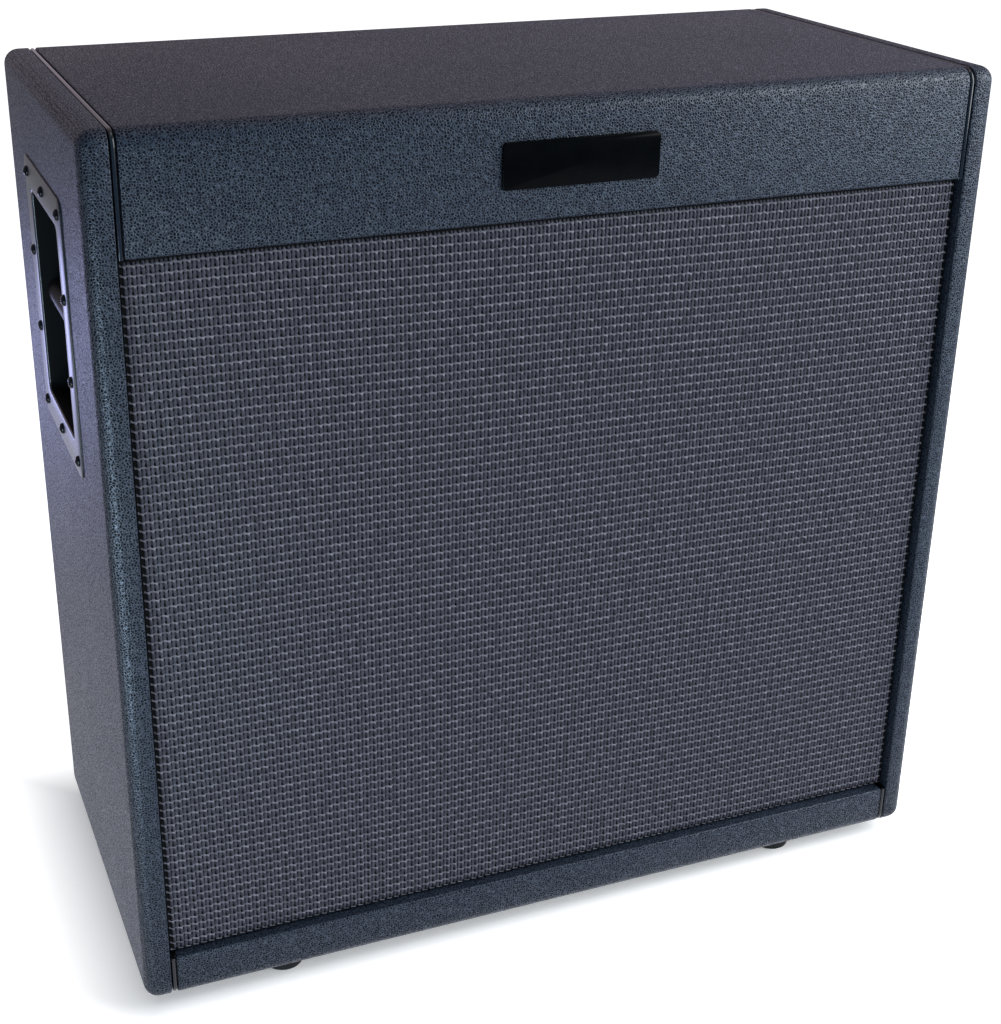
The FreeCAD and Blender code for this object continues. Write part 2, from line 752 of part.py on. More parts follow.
def lever_slot(depth):
    """The slot that the lever slides in, from the cup's floor inwards."""
    length = LEVER_WIDTH + LEVER_TRAVEL + 2 * LEVER_CLEARANCE
    half_height = LEVER_HEIGHT / 2 + LEVER_CLEARANCE
    low_x = -(LEVER_TRAVEL + LEVER_WIDTH) / 2 - LEVER_CLEARANCE
    return box(
        (low_x, low_x + length),
        (CUP_FLOOR_Y - depth, CUP_FLOOR_Y),
        (CUP_Z - half_height, CUP_Z + half_height),
    )


def jack_cup():
    flange = rounded_plate(CUP_WIDTH, CUP_HEIGHT, CUP_CORNER, CUP_FLANGE)
    flange.rotate(at(0, 0, 0), Z_AXIS, -90)
    flange.translate(at(0, BACK_FACE_Y + CUP_FLANGE, CUP_Z))
    tub = cup_space(0)
    half_width = CUP_WIDTH / 2 - CUP_RIM
    half_height = CUP_HEIGHT / 2 - CUP_RIM
    hollow = box(
        (-half_width, half_width),
        (CUP_FLOOR_Y, BACK_FACE_Y + CUP_FLANGE),
        (CUP_Z - half_height, CUP_Z + half_height),
    )
    hole_radius = JACK_BUSH_RADIUS + JACK_HOLE_CLEARANCE
    holes = [Part.makeCylinder(hole_radius, CUP_WALL, place - Y_AXIS * CUP_WALL, Y_AXIS) for place in jack_places()]
    return joined([flange, tub]).cut(group([hollow, lever_slot(CUP_WALL)] + holes))


def jack_socket(place):
    """Socket for a 6.35 mm plug: a body behind the cup's floor and a bush through it."""
    body_front = place.y - CUP_WALL
    body = box(
        (place.x - JACK_BODY_WIDTH / 2, place.x + JACK_BODY_WIDTH / 2),
        (body_front - JACK_BODY_LENGTH, body_front),
        (place.z - JACK_BODY_HEIGHT / 2, place.z + JACK_BODY_HEIGHT / 2),
    )
    bush = Part.makeCylinder(JACK_BUSH_RADIUS, JACK_BUSH_LENGTH, at(place.x, body_front, place.z), Y_AXIS)
    mouth = at(place.x, body_front + JACK_BUSH_LENGTH, place.z)
    bore = Part.makeCylinder(JACK_BORE, JACK_BORE_LENGTH, mouth, -Y_AXIS)
    return joined([body, bush]).cut(bore)


def jack_nuts():
    nuts = []
    for place in jack_places():
        nut = prism(place, Y_AXIS, NUT_SIDES, JACK_NUT_FLATS, JACK_NUT_HEIGHT)
        thread = Part.makeCylinder(JACK_BUSH_RADIUS + JACK_HOLE_CLEARANCE, JACK_NUT_HEIGHT, place, Y_AXIS)
        nuts.append(nut.cut(thread))
    return group(nuts)


def switch_body():
    body_front = CUP_FLOOR_Y - CUP_WALL
    body = box(
        (-SWITCH_WIDTH / 2, SWITCH_WIDTH / 2),
        (body_front - SWITCH_LENGTH, body_front),
        (CUP_Z - SWITCH_HEIGHT / 2, CUP_Z + SWITCH_HEIGHT / 2),
    )
    return body.cut(lever_slot(CUP_WALL + LEVER_SEAT + LEVER_CLEARANCE))


def switch_lever():
    """The lever stands at the left end of its slot, seen from the front, and slides to +X."""
    low_x = -(LEVER_TRAVEL + LEVER_WIDTH) / 2
    return box(
        (low_x, low_x + LEVER_WIDTH),
        (CUP_FLOOR_Y - CUP_WALL - LEVER_SEAT, CUP_FLOOR_Y + LEVER_PROUD),
        (CUP_Z - LEVER_HEIGHT / 2, CUP_Z + LEVER_HEIGHT / 2),
    )


def jack_cup_screws():
    half_width = CUP_WIDTH / 2 - CUP_SCREW_INSET
    half_height = CUP_HEIGHT / 2 - CUP_SCREW_INSET
    seat_y = BACK_FACE_Y + CUP_FLANGE
    return group([
        screw_head(at(x, seat_y, CUP_Z + z), Y_AXIS, SMALL_HEAD_RADIUS, SMALL_HEAD_HEIGHT)
        for x in (-half_width, half_width)
        for z in (-half_height, half_height)
    ])


# Assembly

def cabinet_nodes():
    nodes = {
        "top_panel": board_in(TOP_ZONE),
        "bottom_panel": board_in(BOTTOM_ZONE),
        "valance_board": valance_board(),
        "bottom_rail": bottom_rail(),
        "top_covering": top_covering(),
        "bottom_covering": bottom_covering(),
        "baffle_board": baffle_board(),
        "grille_frame": grille_frame(),
        "grille_cloth": grille_cloth(),
        "badge_plate": badge_plate(),
        "back_panel": back_panel(),
        "back_covering": back_covering(),
        "back_battens": back_battens(),
        "centre_brace": centre_brace(),
        "back_panel_screws": back_panel_screws(),
        "rubber_feet": rubber_feet(),
        "foot_screws": foot_screws(),
        "jack_cup": jack_cup(),
        "jack_cup_screws": jack_cup_screws(),
        "jack_nuts": jack_nuts(),
        "selector_switch_body": switch_body(),
        "selector_switch_lever": switch_lever(),
        "speaker_bolts": speaker_bolts(),
    }
    for side, place in zip(("left", "right"), jack_places()):
        nodes[side + "_jack_socket"] = jack_socket(place)
    handed = {
        "side_panel": left_side_panel(),
        "covering": left_covering(),
        "top_piping": left_piping(OPENING_TOP, TOP_INNER_Z, BOX_TOP),
        "bottom_piping": left_piping(OPENING_BOTTOM, BOTTOM_INNER_Z, BOX_BOTTOM),
        "handle_dish": left_handle_dish(),
        "handle_bar": left_handle_bar(),
        "handle_screws": left_handle_screws(),
    }
    for name, shape in handed.items():
        nodes["left_" + name] = shape
        nodes["right_" + name] = mirrored(shape)
    return nodes


def speaker_nodes():
    makers = {
        "basket": basket,
        "magnet": magnet,
        "cone": cone,
        "surround": surround,
        "spider": spider,
    }
    nodes = {}
    for number, place in enumerate(speaker_places(), start=1):
        for piece, make in makers.items():
            nodes["speaker_%d_%s" % (number, piece)] = make(place)
    return nodes


os.makedirs("parts", exist_ok=True)
all_nodes = {**cabinet_nodes(), **speaker_nodes()}
for node_name, node_shape in all_nodes.items():
    node_shape.exportStep("parts/" + node_name + ".step")
    print(node_name, len(node_shape.Solids), "solids", round(node_shape.Volume / 1000, 2), "cm3")
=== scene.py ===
import math

import bpy
import numpy
from mathutils import Matrix, Vector


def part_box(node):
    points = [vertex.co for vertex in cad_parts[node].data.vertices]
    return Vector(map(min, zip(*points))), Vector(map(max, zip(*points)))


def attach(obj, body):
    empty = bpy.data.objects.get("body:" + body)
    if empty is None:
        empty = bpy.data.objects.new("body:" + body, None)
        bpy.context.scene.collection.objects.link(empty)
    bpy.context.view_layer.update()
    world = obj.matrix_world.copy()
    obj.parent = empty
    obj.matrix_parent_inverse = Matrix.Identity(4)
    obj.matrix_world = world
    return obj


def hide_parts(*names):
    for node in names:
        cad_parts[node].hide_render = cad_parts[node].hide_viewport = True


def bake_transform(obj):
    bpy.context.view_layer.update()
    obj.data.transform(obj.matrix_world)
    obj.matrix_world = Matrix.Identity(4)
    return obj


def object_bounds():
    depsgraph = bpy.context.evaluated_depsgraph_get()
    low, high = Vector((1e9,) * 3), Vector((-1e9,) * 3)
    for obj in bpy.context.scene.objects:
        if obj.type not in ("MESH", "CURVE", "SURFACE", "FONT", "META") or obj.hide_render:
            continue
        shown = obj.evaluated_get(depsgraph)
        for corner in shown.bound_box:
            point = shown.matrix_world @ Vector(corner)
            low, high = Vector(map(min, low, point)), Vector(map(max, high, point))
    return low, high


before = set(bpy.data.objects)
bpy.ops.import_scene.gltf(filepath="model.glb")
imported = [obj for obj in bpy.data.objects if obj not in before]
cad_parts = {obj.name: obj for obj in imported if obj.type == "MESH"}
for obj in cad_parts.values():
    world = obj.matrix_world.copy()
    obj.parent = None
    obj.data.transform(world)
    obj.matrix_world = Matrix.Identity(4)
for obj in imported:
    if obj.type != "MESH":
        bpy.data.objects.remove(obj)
cad_low, cad_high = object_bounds()

# Sizes are in metres, unless a comment gives another unit
MM = 0.001
TOUCH = 0.02 * MM
WELD = 0.01 * MM
SEAM_WELD = 0.005 * MM
TURN_STEPS = 64
ROUND_SIDES = 32

# Coverings and piping
SIDES = ("left", "right")
LEVELS = ("top", "bottom")
VINYL = 1.2 * MM
VINYL_UNDER_RIM = 3 * MM
EDGE_RADIUS = 13 * MM
EDGE_STEPS = 8
SOFT_EDGE = 2.2 * MM
GROOVE_EDGE = 1.3 * MM
GROOVE_DEPTH = 4.6 * MM
GROOVE_WIDTH = 5.6 * MM
RETURN_EDGE = 0.2 * MM
WELT = 0.5 * MM
BEAD_SUNK = 0.3 * MM
BEAD_RADIUS = 2.1 * MM
BEAD_SIDES = 12
PIPED_BOARD = {"top": "valance_board", "bottom": "bottom_rail"}

# Grille cloth; yarns are in millimetres, and forward is from the backing sheet
CLOTH_COLUMNS = 106
CLOTH_ROWS = 82
CLOTH_STRIPS = 4
BACKING = 0.4 * MM
CLOTH_EDGE = 2 * MM
YARN_SIDES = 4
YARN_CUTS = 3
YARN_SWELL = 0.8
WEFT = dict(width=1.8, depth=0.6, sway=0, slant=0.65, lift=0.65, lumps=0.5, forward=1.5)
TIE = dict(width=3.2, depth=0.4, sway=0.8, slant=0, lift=-0.1, lumps=0, forward=0.5)
WARP = dict(width=2, depth=0.5, sway=0, slant=0, lift=-0.3, lumps=0, forward=1.1)
WARP_ASIDE = 0.27
FIRST_WEFT = 0.25
CLOTH_ROLL = 8 * MM
CLOTH_ROLL_BACK = 3.4 * MM
# How far yarns wander, over what length, and how that line itself bends
WARP_WANDER = (0.25 * MM, 61 * MM, 1.5, 90 * MM)
WEFT_WANDER = (0.35 * MM, 47 * MM, 1.2, 75 * MM)
CLOTH_RIPPLE = 0.12 * MM
RIPPLE_X = 21 * MM
RIPPLE_Z = 34 * MM

# Badge plate, screws and bolts
BADGE_CORNER = 4 * MM
BADGE_BEVEL = 0.8 * MM
DOME_STEPS = 5
DOME_STEP = math.radians(16)
SCREW_TURN = 0.7
BOLT_RADIUS = 2.4 * MM

# Handles
HANDLE = dict(corner=10 * MM, rim=26 * MM, draft=1.5 * MM, floor_round=7 * MM, lip=1.6 * MM, sheet=1.6 * MM)
TRAY_EDGE = 0.5 * MM
TRAY_STEPS = 5
BAR_FLARE = 3 * MM
BAR_FLARE_WIDTH = 1.2

# Feet
FOOT_BEVEL = 1 * MM
FOOT_TAPER = 0.6 * MM
FOOT_TREAD = 3 * MM
FOOT_WELL_WIDTH = 0.37
FOOT_WELL_DEPTH = 9 * MM

# Jack cup, sockets and switch
CUP = dict(corner=8 * MM, rim=13 * MM, draft=0.8 * MM, floor_round=3 * MM, lip=1.5 * MM, sheet=2 * MM)
JACK_BODY = 26 * MM
JACK_EDGE = 1.2 * MM
JACK_BORE = 3.25 * MM
JACK_BORE_ROOM = 24 * MM
JACK_HOLE = 4.8 * MM
BUSH_WALL = 1.4 * MM
BUSH_FOOT = 1 * MM
THREAD_TURNS = 6
THREAD_DEPTH = 0.3 * MM
SWITCH_EDGE = 0.8 * MM
LEVER_TRAVEL = 6 * MM
LEVER_CLEARANCE = 0.3 * MM
LEVER_EDGE = 0.5 * MM
FINGER_GROOVE = 1 * MM
FINGER_GROOVE_DEPTH = 0.8 * MM

# Loudspeakers: radius and depth in millimetres, depth to the rear from the flange's face
SPOKES = 8
SPOKE_SHARE = 0.19
WINDOW_INNER = 84
WINDOW_OUTER = 127
BASKET_SHEET = 2
BASKET_FLANGE = [(154, 1), (139, 1), (136.5, 3)]
BASKET_WALL = [(WINDOW_OUTER, 13.7), (WINDOW_INNER, 63.3)]
BASKET_SEAT = [(76, 73), (73, 75), (58, 75)]
POLE = [(0, 78), (20.4, 78), (20.9, 78.5), (20.9, 102)]
COIL_GAP = [(23.4, 102), (23.4, 78)]
PLATE_RADIUS = 62
FRONT_PLATE = [(61.4, 78), (PLATE_RADIUS, 78.6), (PLATE_RADIUS, 84.5)]
FERRITE = [(70.8, 84.5), (72, 85.7), (72, 102.3), (70.8, 103.5)]
REAR_PLATE = [(PLATE_RADIUS, 103.5), (PLATE_RADIUS, 109.2), (61.2, 110), (0, 110)]
CONE_RADIUS = 120
CONE_SET_BACK = 0.3
CONE_SLOPE = 0.63
CONE_PAPER_THICK = 1.2
CONE_STEPS = 12
CONE_RIBS = (3, 5, 7, 9)
CONE_RIB = 0.8
CAP_RADIUS = 42
CAP_RISE = 15
CAP_WALL = 1.6
CAP_STEPS = 6
FORMER_RADIUS = 22.6
FORMER_WALL = 1
FORMER_END = 87.3
SURROUND = dict(lap=141, outer=137, inner=121, depth=-3.5, wave=2.5, waves=2, steps=16, thick=1)
SURROUND.update(collar=[(119.5, -0.7), (117.5, 0.6), (116, 1.5)], fixed=0.05, moving=1.5)
SPIDER = dict(lap=65, outer=57, inner=27, depth=72.4, wave=0.8, waves=4, steps=32, thick=0.8)
SPIDER.update(collar=[(25.6, 72.4), (23.6, 69.8), (22.9, 68.8)], fixed=71.4, moving=69.6)

# Vinyl grain and colours
GRAIN = 2.2 * MM
GRAIN_DISORDER = 0.85
RIDGE_WIDTH = 0.32
# The pit colour is painted shade in the grain's hollows; the ridge colour is the vinyl's own.
VINYL_PIT_PAINTED_SHADE = (0.002, 0.003, 0.006, 1)
VINYL_RIDGE = (0.018, 0.028, 0.046, 1)
VENEER_DARK = (0.22, 0.12, 0.05, 1)
VENEER_PALE = (0.55, 0.38, 0.2, 1)
SPIDER_DARK = (0.25, 0.15, 0.05, 1)
SPIDER_LIGHT = (0.4, 0.26, 0.1, 1)

# Studio
WHITE = (1, 1, 1, 1)
ROOM_FILL = 0.2
ROOM_IN_FRONT = (0.38, 0.66, 1.0, 1)
ROOM_BEHIND = (0.58, 0.5, 0.58, 1)
ROOM_TURN = (-0.4, 0.4)
FLOOR_BESIDE = (0.86, 0.88, 1.0, 1)
FLOOR_IN_FRONT = (0.1, 0.45, 1.0, 1)
# Strength near the cabinet and away from it, and where it changes; the seen floor's weaker glow near the
# cabinet is a painted shadow
FLOOR_GLOW_AND_PAINTED_SHADOW = (0.25, 0.95)
FLOOR_PAINTED_SHADOW_SPAN = (-0.02, 0.06)
FLOOR_MIRRORED = (1.0, 0.15)
FLOOR_MIRRORED_SPAN = (0.05, 1.2)
FLOOR_MIRRORED_IN_FRONT = 0.7
FLOOR_FRONT_SPAN = 0.25


# Places taken from the CAD nodes

def outer_face(name, level):
    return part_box(name)[1 if level == "top" else 0].z


def inner_face(name, level):
    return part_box(name)[0 if level == "top" else 1].z


def middle_of(name):
    low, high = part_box(name)
    return (low + high) / 2


front_y, rear_y = [corner.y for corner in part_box("top_covering")]
opening = {level: inner_face(level + "_covering", level) for level in LEVELS}
baffle_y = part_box("baffle_board")[0].y
cloth_low, cloth_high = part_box("grille_cloth")
cloth_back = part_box("grille_frame")[0].y
sheet_face = cloth_back - BACKING
pitch_x = (cloth_high.x - cloth_low.x) / CLOTH_COLUMNS
pitch_z = (cloth_high.z - cloth_low.z) / CLOTH_ROWS


# Hand tools

def near(a, b):
    return abs(a - b) < TOUCH


def move_along(axis, length):
    move = [0, 0, 0]
    move[axis] = length
    return move


def only(piece):
    bpy.ops.object.select_all(action="DESELECT")
    piece.select_set(True)
    bpy.context.view_layer.objects.active = piece


def start_picking(piece, element):
    only(piece)
    bpy.ops.object.mode_set(mode="EDIT")
    bpy.ops.mesh.select_mode(type=element)
    bpy.ops.mesh.select_all(action="DESELECT")
    bpy.ops.object.mode_set(mode="OBJECT")


def pick_faces(piece, wanted):
    """Starts editing with the faces picked that wanted(centre, normal) names."""
    start_picking(piece, "FACE")
    for face in piece.data.polygons:
        face.select = wanted(face.center, face.normal)
    bpy.ops.object.mode_set(mode="EDIT")


def pick_edges(piece, wanted):
    """Starts editing with the edges picked that wanted(end, end) names."""
    start_picking(piece, "EDGE")
    points = piece.data.vertices
    for edge in piece.data.edges:
        edge.select = wanted(points[edge.vertices[0]].co, points[edge.vertices[1]].co)
    bpy.ops.object.mode_set(mode="EDIT")


def edges_at(axis, place):
    """Names the edges in the plane at this place along the axis."""
    return lambda a, b: near(a[axis], place) and near(b[axis], place)


def faces_at(axis, place):
    """Names the flat faces in the plane at this place along the axis."""
    return lambda centre, normal: near(centre[axis], place) and abs(normal[axis]) > 0.99


def pick_all(piece):
    only(piece)
    bpy.ops.object.mode_set(mode="EDIT")
    bpy.ops.mesh.select_all(action="SELECT")


def pick_points(piece):
    start_picking(piece, "VERT")
    pick_all(piece)


def done():
    bpy.ops.object.mode_set(mode="OBJECT")


def settle(name):
    """Names the piece just added and bakes its place into the mesh."""
    piece = bpy.context.object
    piece.name = name
    piece.data.name = name
    only(piece)
    bpy.ops.object.transform_apply()
    return piece


def block(name, low, high):
    low = Vector(low)
    high = Vector(high)
    bpy.ops.mesh.primitive_cube_add(size=1, location=(low + high) / 2, scale=high - low)
    return settle(name)


def rod(name, centre, axis, radius, length, sides=ROUND_SIDES, caps="NGON"):
    turn = Vector(axis).to_track_quat("Z", "Y").to_euler()
    bpy.ops.mesh.primitive_cylinder_add(
        vertices=sides, radius=radius, depth=length, end_fill_type=caps, location=centre, rotation=turn
    )
    return settle(name)


def round_edges(piece, wanted, radius, steps):
    pick_edges(piece, wanted)
    bpy.ops.mesh.bevel(offset=radius, segments=steps, affect="EDGES", profile=0.5, clamp_overlap=True)
    done()


def remove_faces(piece, wanted):
    pick_faces(piece, wanted)
    bpy.ops.mesh.delete(type="FACE")
    done()


def slice_faces(piece, wanted, point, normal):
    pick_faces(piece, wanted)
    bpy.ops.mesh.bisect(plane_co=point, plane_no=normal)
    done()


def cut_window(piece, wanted, axes, low, high):
    """Cuts a rectangular window in the flat faces that wanted names."""
    for axis in axes:
        for corner in (low, high):
            slice_faces(piece, wanted, corner, move_along(axis, 1))

    def inside(centre, normal):
        return wanted(centre, normal) and all(low[axis] < centre[axis] < high[axis] for axis in axes)

    remove_faces(piece, inside)


def inset_and_open(piece, wanted, width):
    """Leaves a lip of this width round the wanted faces and takes their middle out."""
    pick_faces(piece, wanted)
    bpy.ops.mesh.inset(thickness=width, use_boundary=True)
    bpy.ops.mesh.delete(type="FACE")
    done()


def draw_on(move):
    """Extrudes what is picked by this move."""
    bpy.ops.mesh.extrude_region_move(TRANSFORM_OT_translate={"value": move})


def draw_in(axis, move, squeeze, centre):
    """Draws the picked rim on: a new ring, moved and squeezed towards the centre."""
    factors = list(squeeze)
    factors.insert(axis, 1)
    draw_on(move_along(axis, move))
    bpy.ops.transform.resize(value=factors, center_override=centre)


def modify(piece, kind, **settings):
    """Adds a modifier with these settings and applies it."""
    made = piece.modifiers.new(kind, kind)
    for name, value in settings.items():
        setattr(made, name, value)
    only(piece)
    bpy.ops.object.modifier_apply(modifier=made.name)


def thicken(piece, depth, offset=-1):
    modify(piece, "SOLIDIFY", thickness=depth, offset=offset, use_even_offset=True)


def repeat(piece, count, step):
    welded = {"use_merge_vertices": True, "merge_threshold": WELD}
    spaced = {"use_relative_offset": False, "use_constant_offset": True, "constant_offset_displace": step}
    modify(piece, "ARRAY", count=count, **spaced, **welded)


def cut_away(piece, cutter):
    modify(piece, "BOOLEAN", operation="DIFFERENCE", solver="EXACT", use_self=True, object=cutter)
    bpy.data.objects.remove(cutter)


def join(pieces):
    bpy.ops.object.select_all(action="DESELECT")
    for piece in pieces:
        piece.select_set(True)
    bpy.context.view_layer.objects.active = pieces[0]
    bpy.ops.object.join()
    return pieces[0]


def upright_to(axis):
    """The turn that points an upright piece along the axis."""
    return Vector(axis).to_track_quat("Z", "Y").to_matrix().to_4x4()


def set_copies(name, master, places):
    """Puts a copy of the master, with its own mesh, at each place and joins them."""
    made = []
    for place in places:
        twin = master.copy()
        twin.data = master.data.copy()
        bpy.context.collection.objects.link(twin)
        twin.data.transform(place)
        made.append(twin)
    bpy.data.objects.remove(master)
    piece = join(made)
    piece.name = name
    return piece


def face_outwards(piece):
    pick_all(piece)
    bpy.ops.mesh.remove_doubles(threshold=SEAM_WELD)
    bpy.ops.mesh.normals_make_consistent(inside=False)
    done()


def turned(name, outline, centre, axis):
    """A piece turned on a lathe from its outline of (radius, height) points along the axis."""
    axis = Vector(axis)
    side = axis.orthogonal().normalized()
    centre = Vector(centre)
    bpy.ops.mesh.primitive_circle_add(vertices=len(outline), radius=1, location=(0, 0, 0))
    piece = settle(name)
    for point, (radius, height) in zip(piece.data.vertices, outline):
        point.co = centre + side * radius + axis * height
    pick_all(piece)
    bpy.ops.mesh.spin(steps=TURN_STEPS, angle=2 * math.pi, center=centre, axis=axis)
    done()
    face_outwards(piece)
    return piece


def solids_of(name):
    """(lowest corner, highest corner) of each separate solid of a CAD node."""
    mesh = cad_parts[name].data
    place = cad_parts[name].matrix_world
    parent = {}

    def root(key):
        while parent[key] != key:
            key = parent[key]
        return key

    points = [place @ point.co for point in mesh.vertices]
    keys = [tuple(round(value / WELD) for value in point) for point in points]
    for key in keys:
        parent[key] = key
    for edge in mesh.edges:
        parent[root(keys[edge.vertices[0]])] = root(keys[edge.vertices[1]])
    groups = {}
    for key, point in zip(keys, points):
        groups.setdefault(root(key), []).append(point)
    corners = []
    for group in groups.values():
        low = Vector([min(values) for values in zip(*group)])
        high = Vector([max(values) for values in zip(*group)])
        corners.append((low, high))
    return sorted(corners, key=lambda pair: tuple(round(value, 4) for value in pair[0]))


def fit(piece, material, slot, *nodes, body="cabinet", angle=35):
    """Gives the piece its finish and its place in the assembly."""
    piece.data.materials.clear()
    piece.data.materials.append(material)
    only(piece)
    bpy.ops.object.shade_smooth_by_angle(angle=math.radians(angle))
    if body:
        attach(piece, body)
    if nodes:
        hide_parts(*nodes)
    return piece


def second_finish(piece, material, wanted):
    """Gives another finish to the faces that wanted(centre) names."""
    piece.data.materials.append(material)
    for face in piece.data.polygons:
        if wanted(face.center):
            face.material_index = 1


# Finishes

def node(tree, kind, inputs=None, **settings):
    made = tree.nodes.new(kind)
    for name, value in settings.items():
        setattr(made, name, value)
    for name, value in (inputs or {}).items():
        if isinstance(value, bpy.types.NodeSocket):
            tree.links.new(value, made.inputs[name])
        else:
            made.inputs[name].default_value = value
    return made


def blank_finish(name):
    material = bpy.data.materials.new(name)
    material.use_nodes = True
    tree = material.node_tree
    shader = tree.nodes["Principled BSDF"]
    place = tree.nodes.new("ShaderNodeTexCoord").outputs["Object"]
    return material, tree, shader, place


def grey(value, blue=1.0):
    return (value, value, value * blue, 1)


def ramp(tree, factor, low_colour, high_colour, start=0.0, end=1.0):
    made = node(tree, "ShaderNodeValToRGB", {"Fac": factor})
    made.color_ramp.elements[0].position = start
    made.color_ramp.elements[0].color = low_colour
    made.color_ramp.elements[1].position = end
    made.color_ramp.elements[1].color = high_colour
    return made.outputs["Color"]


def spread(tree, factor, low, high, span=(0.0, 1.0), **settings):
    limits = {"Value": factor, "From Min": span[0], "From Max": span[1], "To Min": low, "To Max": high}
    return node(tree, "ShaderNodeMapRange", limits, **settings).outputs["Result"]


def calc(tree, operation, first, second=0.0, third=0.0, clamp=False):
    values = {0: first, 1: second, 2: third}
    return node(tree, "ShaderNodeMath", values, operation=operation, use_clamp=clamp).outputs["Value"]


def clouds(tree, place, scale, detail):
    made = node(tree, "ShaderNodeTexNoise", {"Vector": place, "Scale": scale, "Detail": detail})
    return made.outputs["Fac"]


def stripes(tree, place, direction, scale, distortion, detail):
    inputs = {"Vector": place, "Scale": scale, "Distortion": distortion, "Detail": detail}
    return node(tree, "ShaderNodeTexWave", inputs, bands_direction=direction).outputs["Fac"]


def emboss(tree, shader, height, strength, depth):
    bump = node(tree, "ShaderNodeBump", {"Height": height, "Strength": strength, "Distance": depth})
    tree.links.new(bump.outputs["Normal"], shader.inputs["Normal"])


def dress(tree, shader, colour, rough, shine=0.5):
    tree.links.new(colour, shader.inputs["Base Color"])
    tree.links.new(rough, shader.inputs["Roughness"])
    shader.inputs["Specular IOR Level"].default_value = shine


def mottled(name, dark, light, rough, grain, depth=0.0, metal=0.0, shine=0.5):
    """A slightly uneven finish: two close colours, a span of roughness and a fine bump."""
    material, tree, shader, place = blank_finish(name)
    cloud = clouds(tree, place, 1 / grain, 4.0)
    dress(tree, shader, ramp(tree, cloud, dark, light, 0.3, 0.7), spread(tree, cloud, *rough), shine)
    shader.inputs["Metallic"].default_value = metal
    if depth:
        emboss(tree, shader, cloud, 0.6, depth)
    return material


def black_vinyl():
    """Embossed leather grain: a fine net of ridges with small pits between them, darkened in colour and
    reflection as painted shade.
    """
    material, tree, shader, place = blank_finish("black_vinyl")
    cells = {"Vector": place, "Scale": 1 / GRAIN, "Randomness": GRAIN_DISORDER}
    from_ridge = node(tree, "ShaderNodeTexVoronoi", cells, feature="DISTANCE_TO_EDGE").outputs["Distance"]
    ridge = spread(tree, from_ridge, 1.0, 0.0, (0.0, RIDGE_WIDTH), interpolation_type="SMOOTHSTEP")
    pores = clouds(tree, place, 1.2 / GRAIN, 2.0)
    height = calc(tree, "MULTIPLY", ridge, pores)
    wear = clouds(tree, place, 5.0, 3.0)
    rough = spread(tree, height, spread(tree, wear, 0.58, 0.7), spread(tree, wear, 0.15, 0.25))
    # The pits' darker colour here, and their lower specular level below, are painted shade in the hollows.
    dress(tree, shader, ramp(tree, height, VINYL_PIT_PAINTED_SHADE, VINYL_RIDGE, 0.12, 0.62), rough)
    emboss(tree, shader, height, 1.0, 0.4 * MM)
    tree.links.new(spread(tree, height, 0.05, 0.6), shader.inputs["Specular IOR Level"])
    return material


def thread_yarn(name, dark, light, rough):
    """Twisted synthetic yarn: fine slanting stripes."""
    material, tree, shader, place = blank_finish(name)
    twist = stripes(tree, place, "DIAGONAL", 700.0, 3.0, 1.0)
    patch = clouds(tree, place, 170.0, 2.0)
    mix = calc(tree, "MULTIPLY_ADD", twist, 0.3, patch)
    dress(tree, shader, ramp(tree, mix, dark, light, 0.4, 0.95), spread(tree, patch, *rough), shine=0.2)
    emboss(tree, shader, twist, 0.3, 0.1 * MM)
    return material


def layered_plywood():
    """Birch plywood: pale and darker veneers in turn."""
    material, tree, shader, place = blank_finish("layered_plywood")
    veneer = stripes(tree, place, "Y", 60.0, 0.6, 2.0)
    along = node(tree, "ShaderNodeMapping", {"Vector": place, "Scale": (220.0, 220.0, 6.0)})
    fibre = clouds(tree, along.outputs["Vector"], 1.0, 5.0)
    mix = calc(tree, "MULTIPLY_ADD", veneer, 0.4, fibre)
    colour = ramp(tree, mix, VENEER_DARK, VENEER_PALE, 0.3, 1.0)
    dress(tree, shader, colour, spread(tree, fibre, 0.55, 0.75))
    emboss(tree, shader, fibre, 0.3, 0.2 * MM)
    return material


VINYL_FINISH = black_vinyl()
WEFT_YARN = thread_yarn("light_weft_yarn", grey(0.03, 1.35), grey(0.19, 1.2), (0.5, 0.65))
WARP_YARN = thread_yarn("grey_warp_yarn", grey(0.014, 1.4), grey(0.064, 1.35), (0.5, 0.65))
TIE_YARN = thread_yarn("dark_tie_yarn", grey(0.005, 1.5), grey(0.02, 1.5), (0.55, 0.7))
# The backing's near-black colour is painted shade seen through the holes of the weave.
BACKING_CLOTH_PAINTED_SHADE = mottled(
    "painted_shade_backing_cloth", grey(0.0015), grey(0.003), (0.8, 0.9), 2 * MM, 0.1 * MM, shine=0.1
)
PLYWOOD = layered_plywood()
BLACK_BOARD = mottled("black_painted_board", grey(0.008), grey(0.014), (0.7, 0.85), 4 * MM, 0.15 * MM)
PIPING_GLOSS = mottled("gloss_piping", grey(0.002, 1.2), grey(0.004, 1.2), (0.1, 0.16), 8 * MM, shine=0.35)
BADGE_LACQUER = mottled("black_lacquer", grey(0.0008), grey(0.0015), (0.08, 0.14), 15 * MM, shine=0.03)
HANDLE_PAINT = mottled(
    "satin_black_paint", grey(0.002, 1.1), grey(0.004, 1.1), (0.24, 0.32), 1.2 * MM, 0.05 * MM, shine=0.3
)
GRIP_PAINT = mottled(
    "grip_black_paint", grey(0.006), grey(0.011), (0.4, 0.5), 1.2 * MM, 0.05 * MM, shine=0.1
)
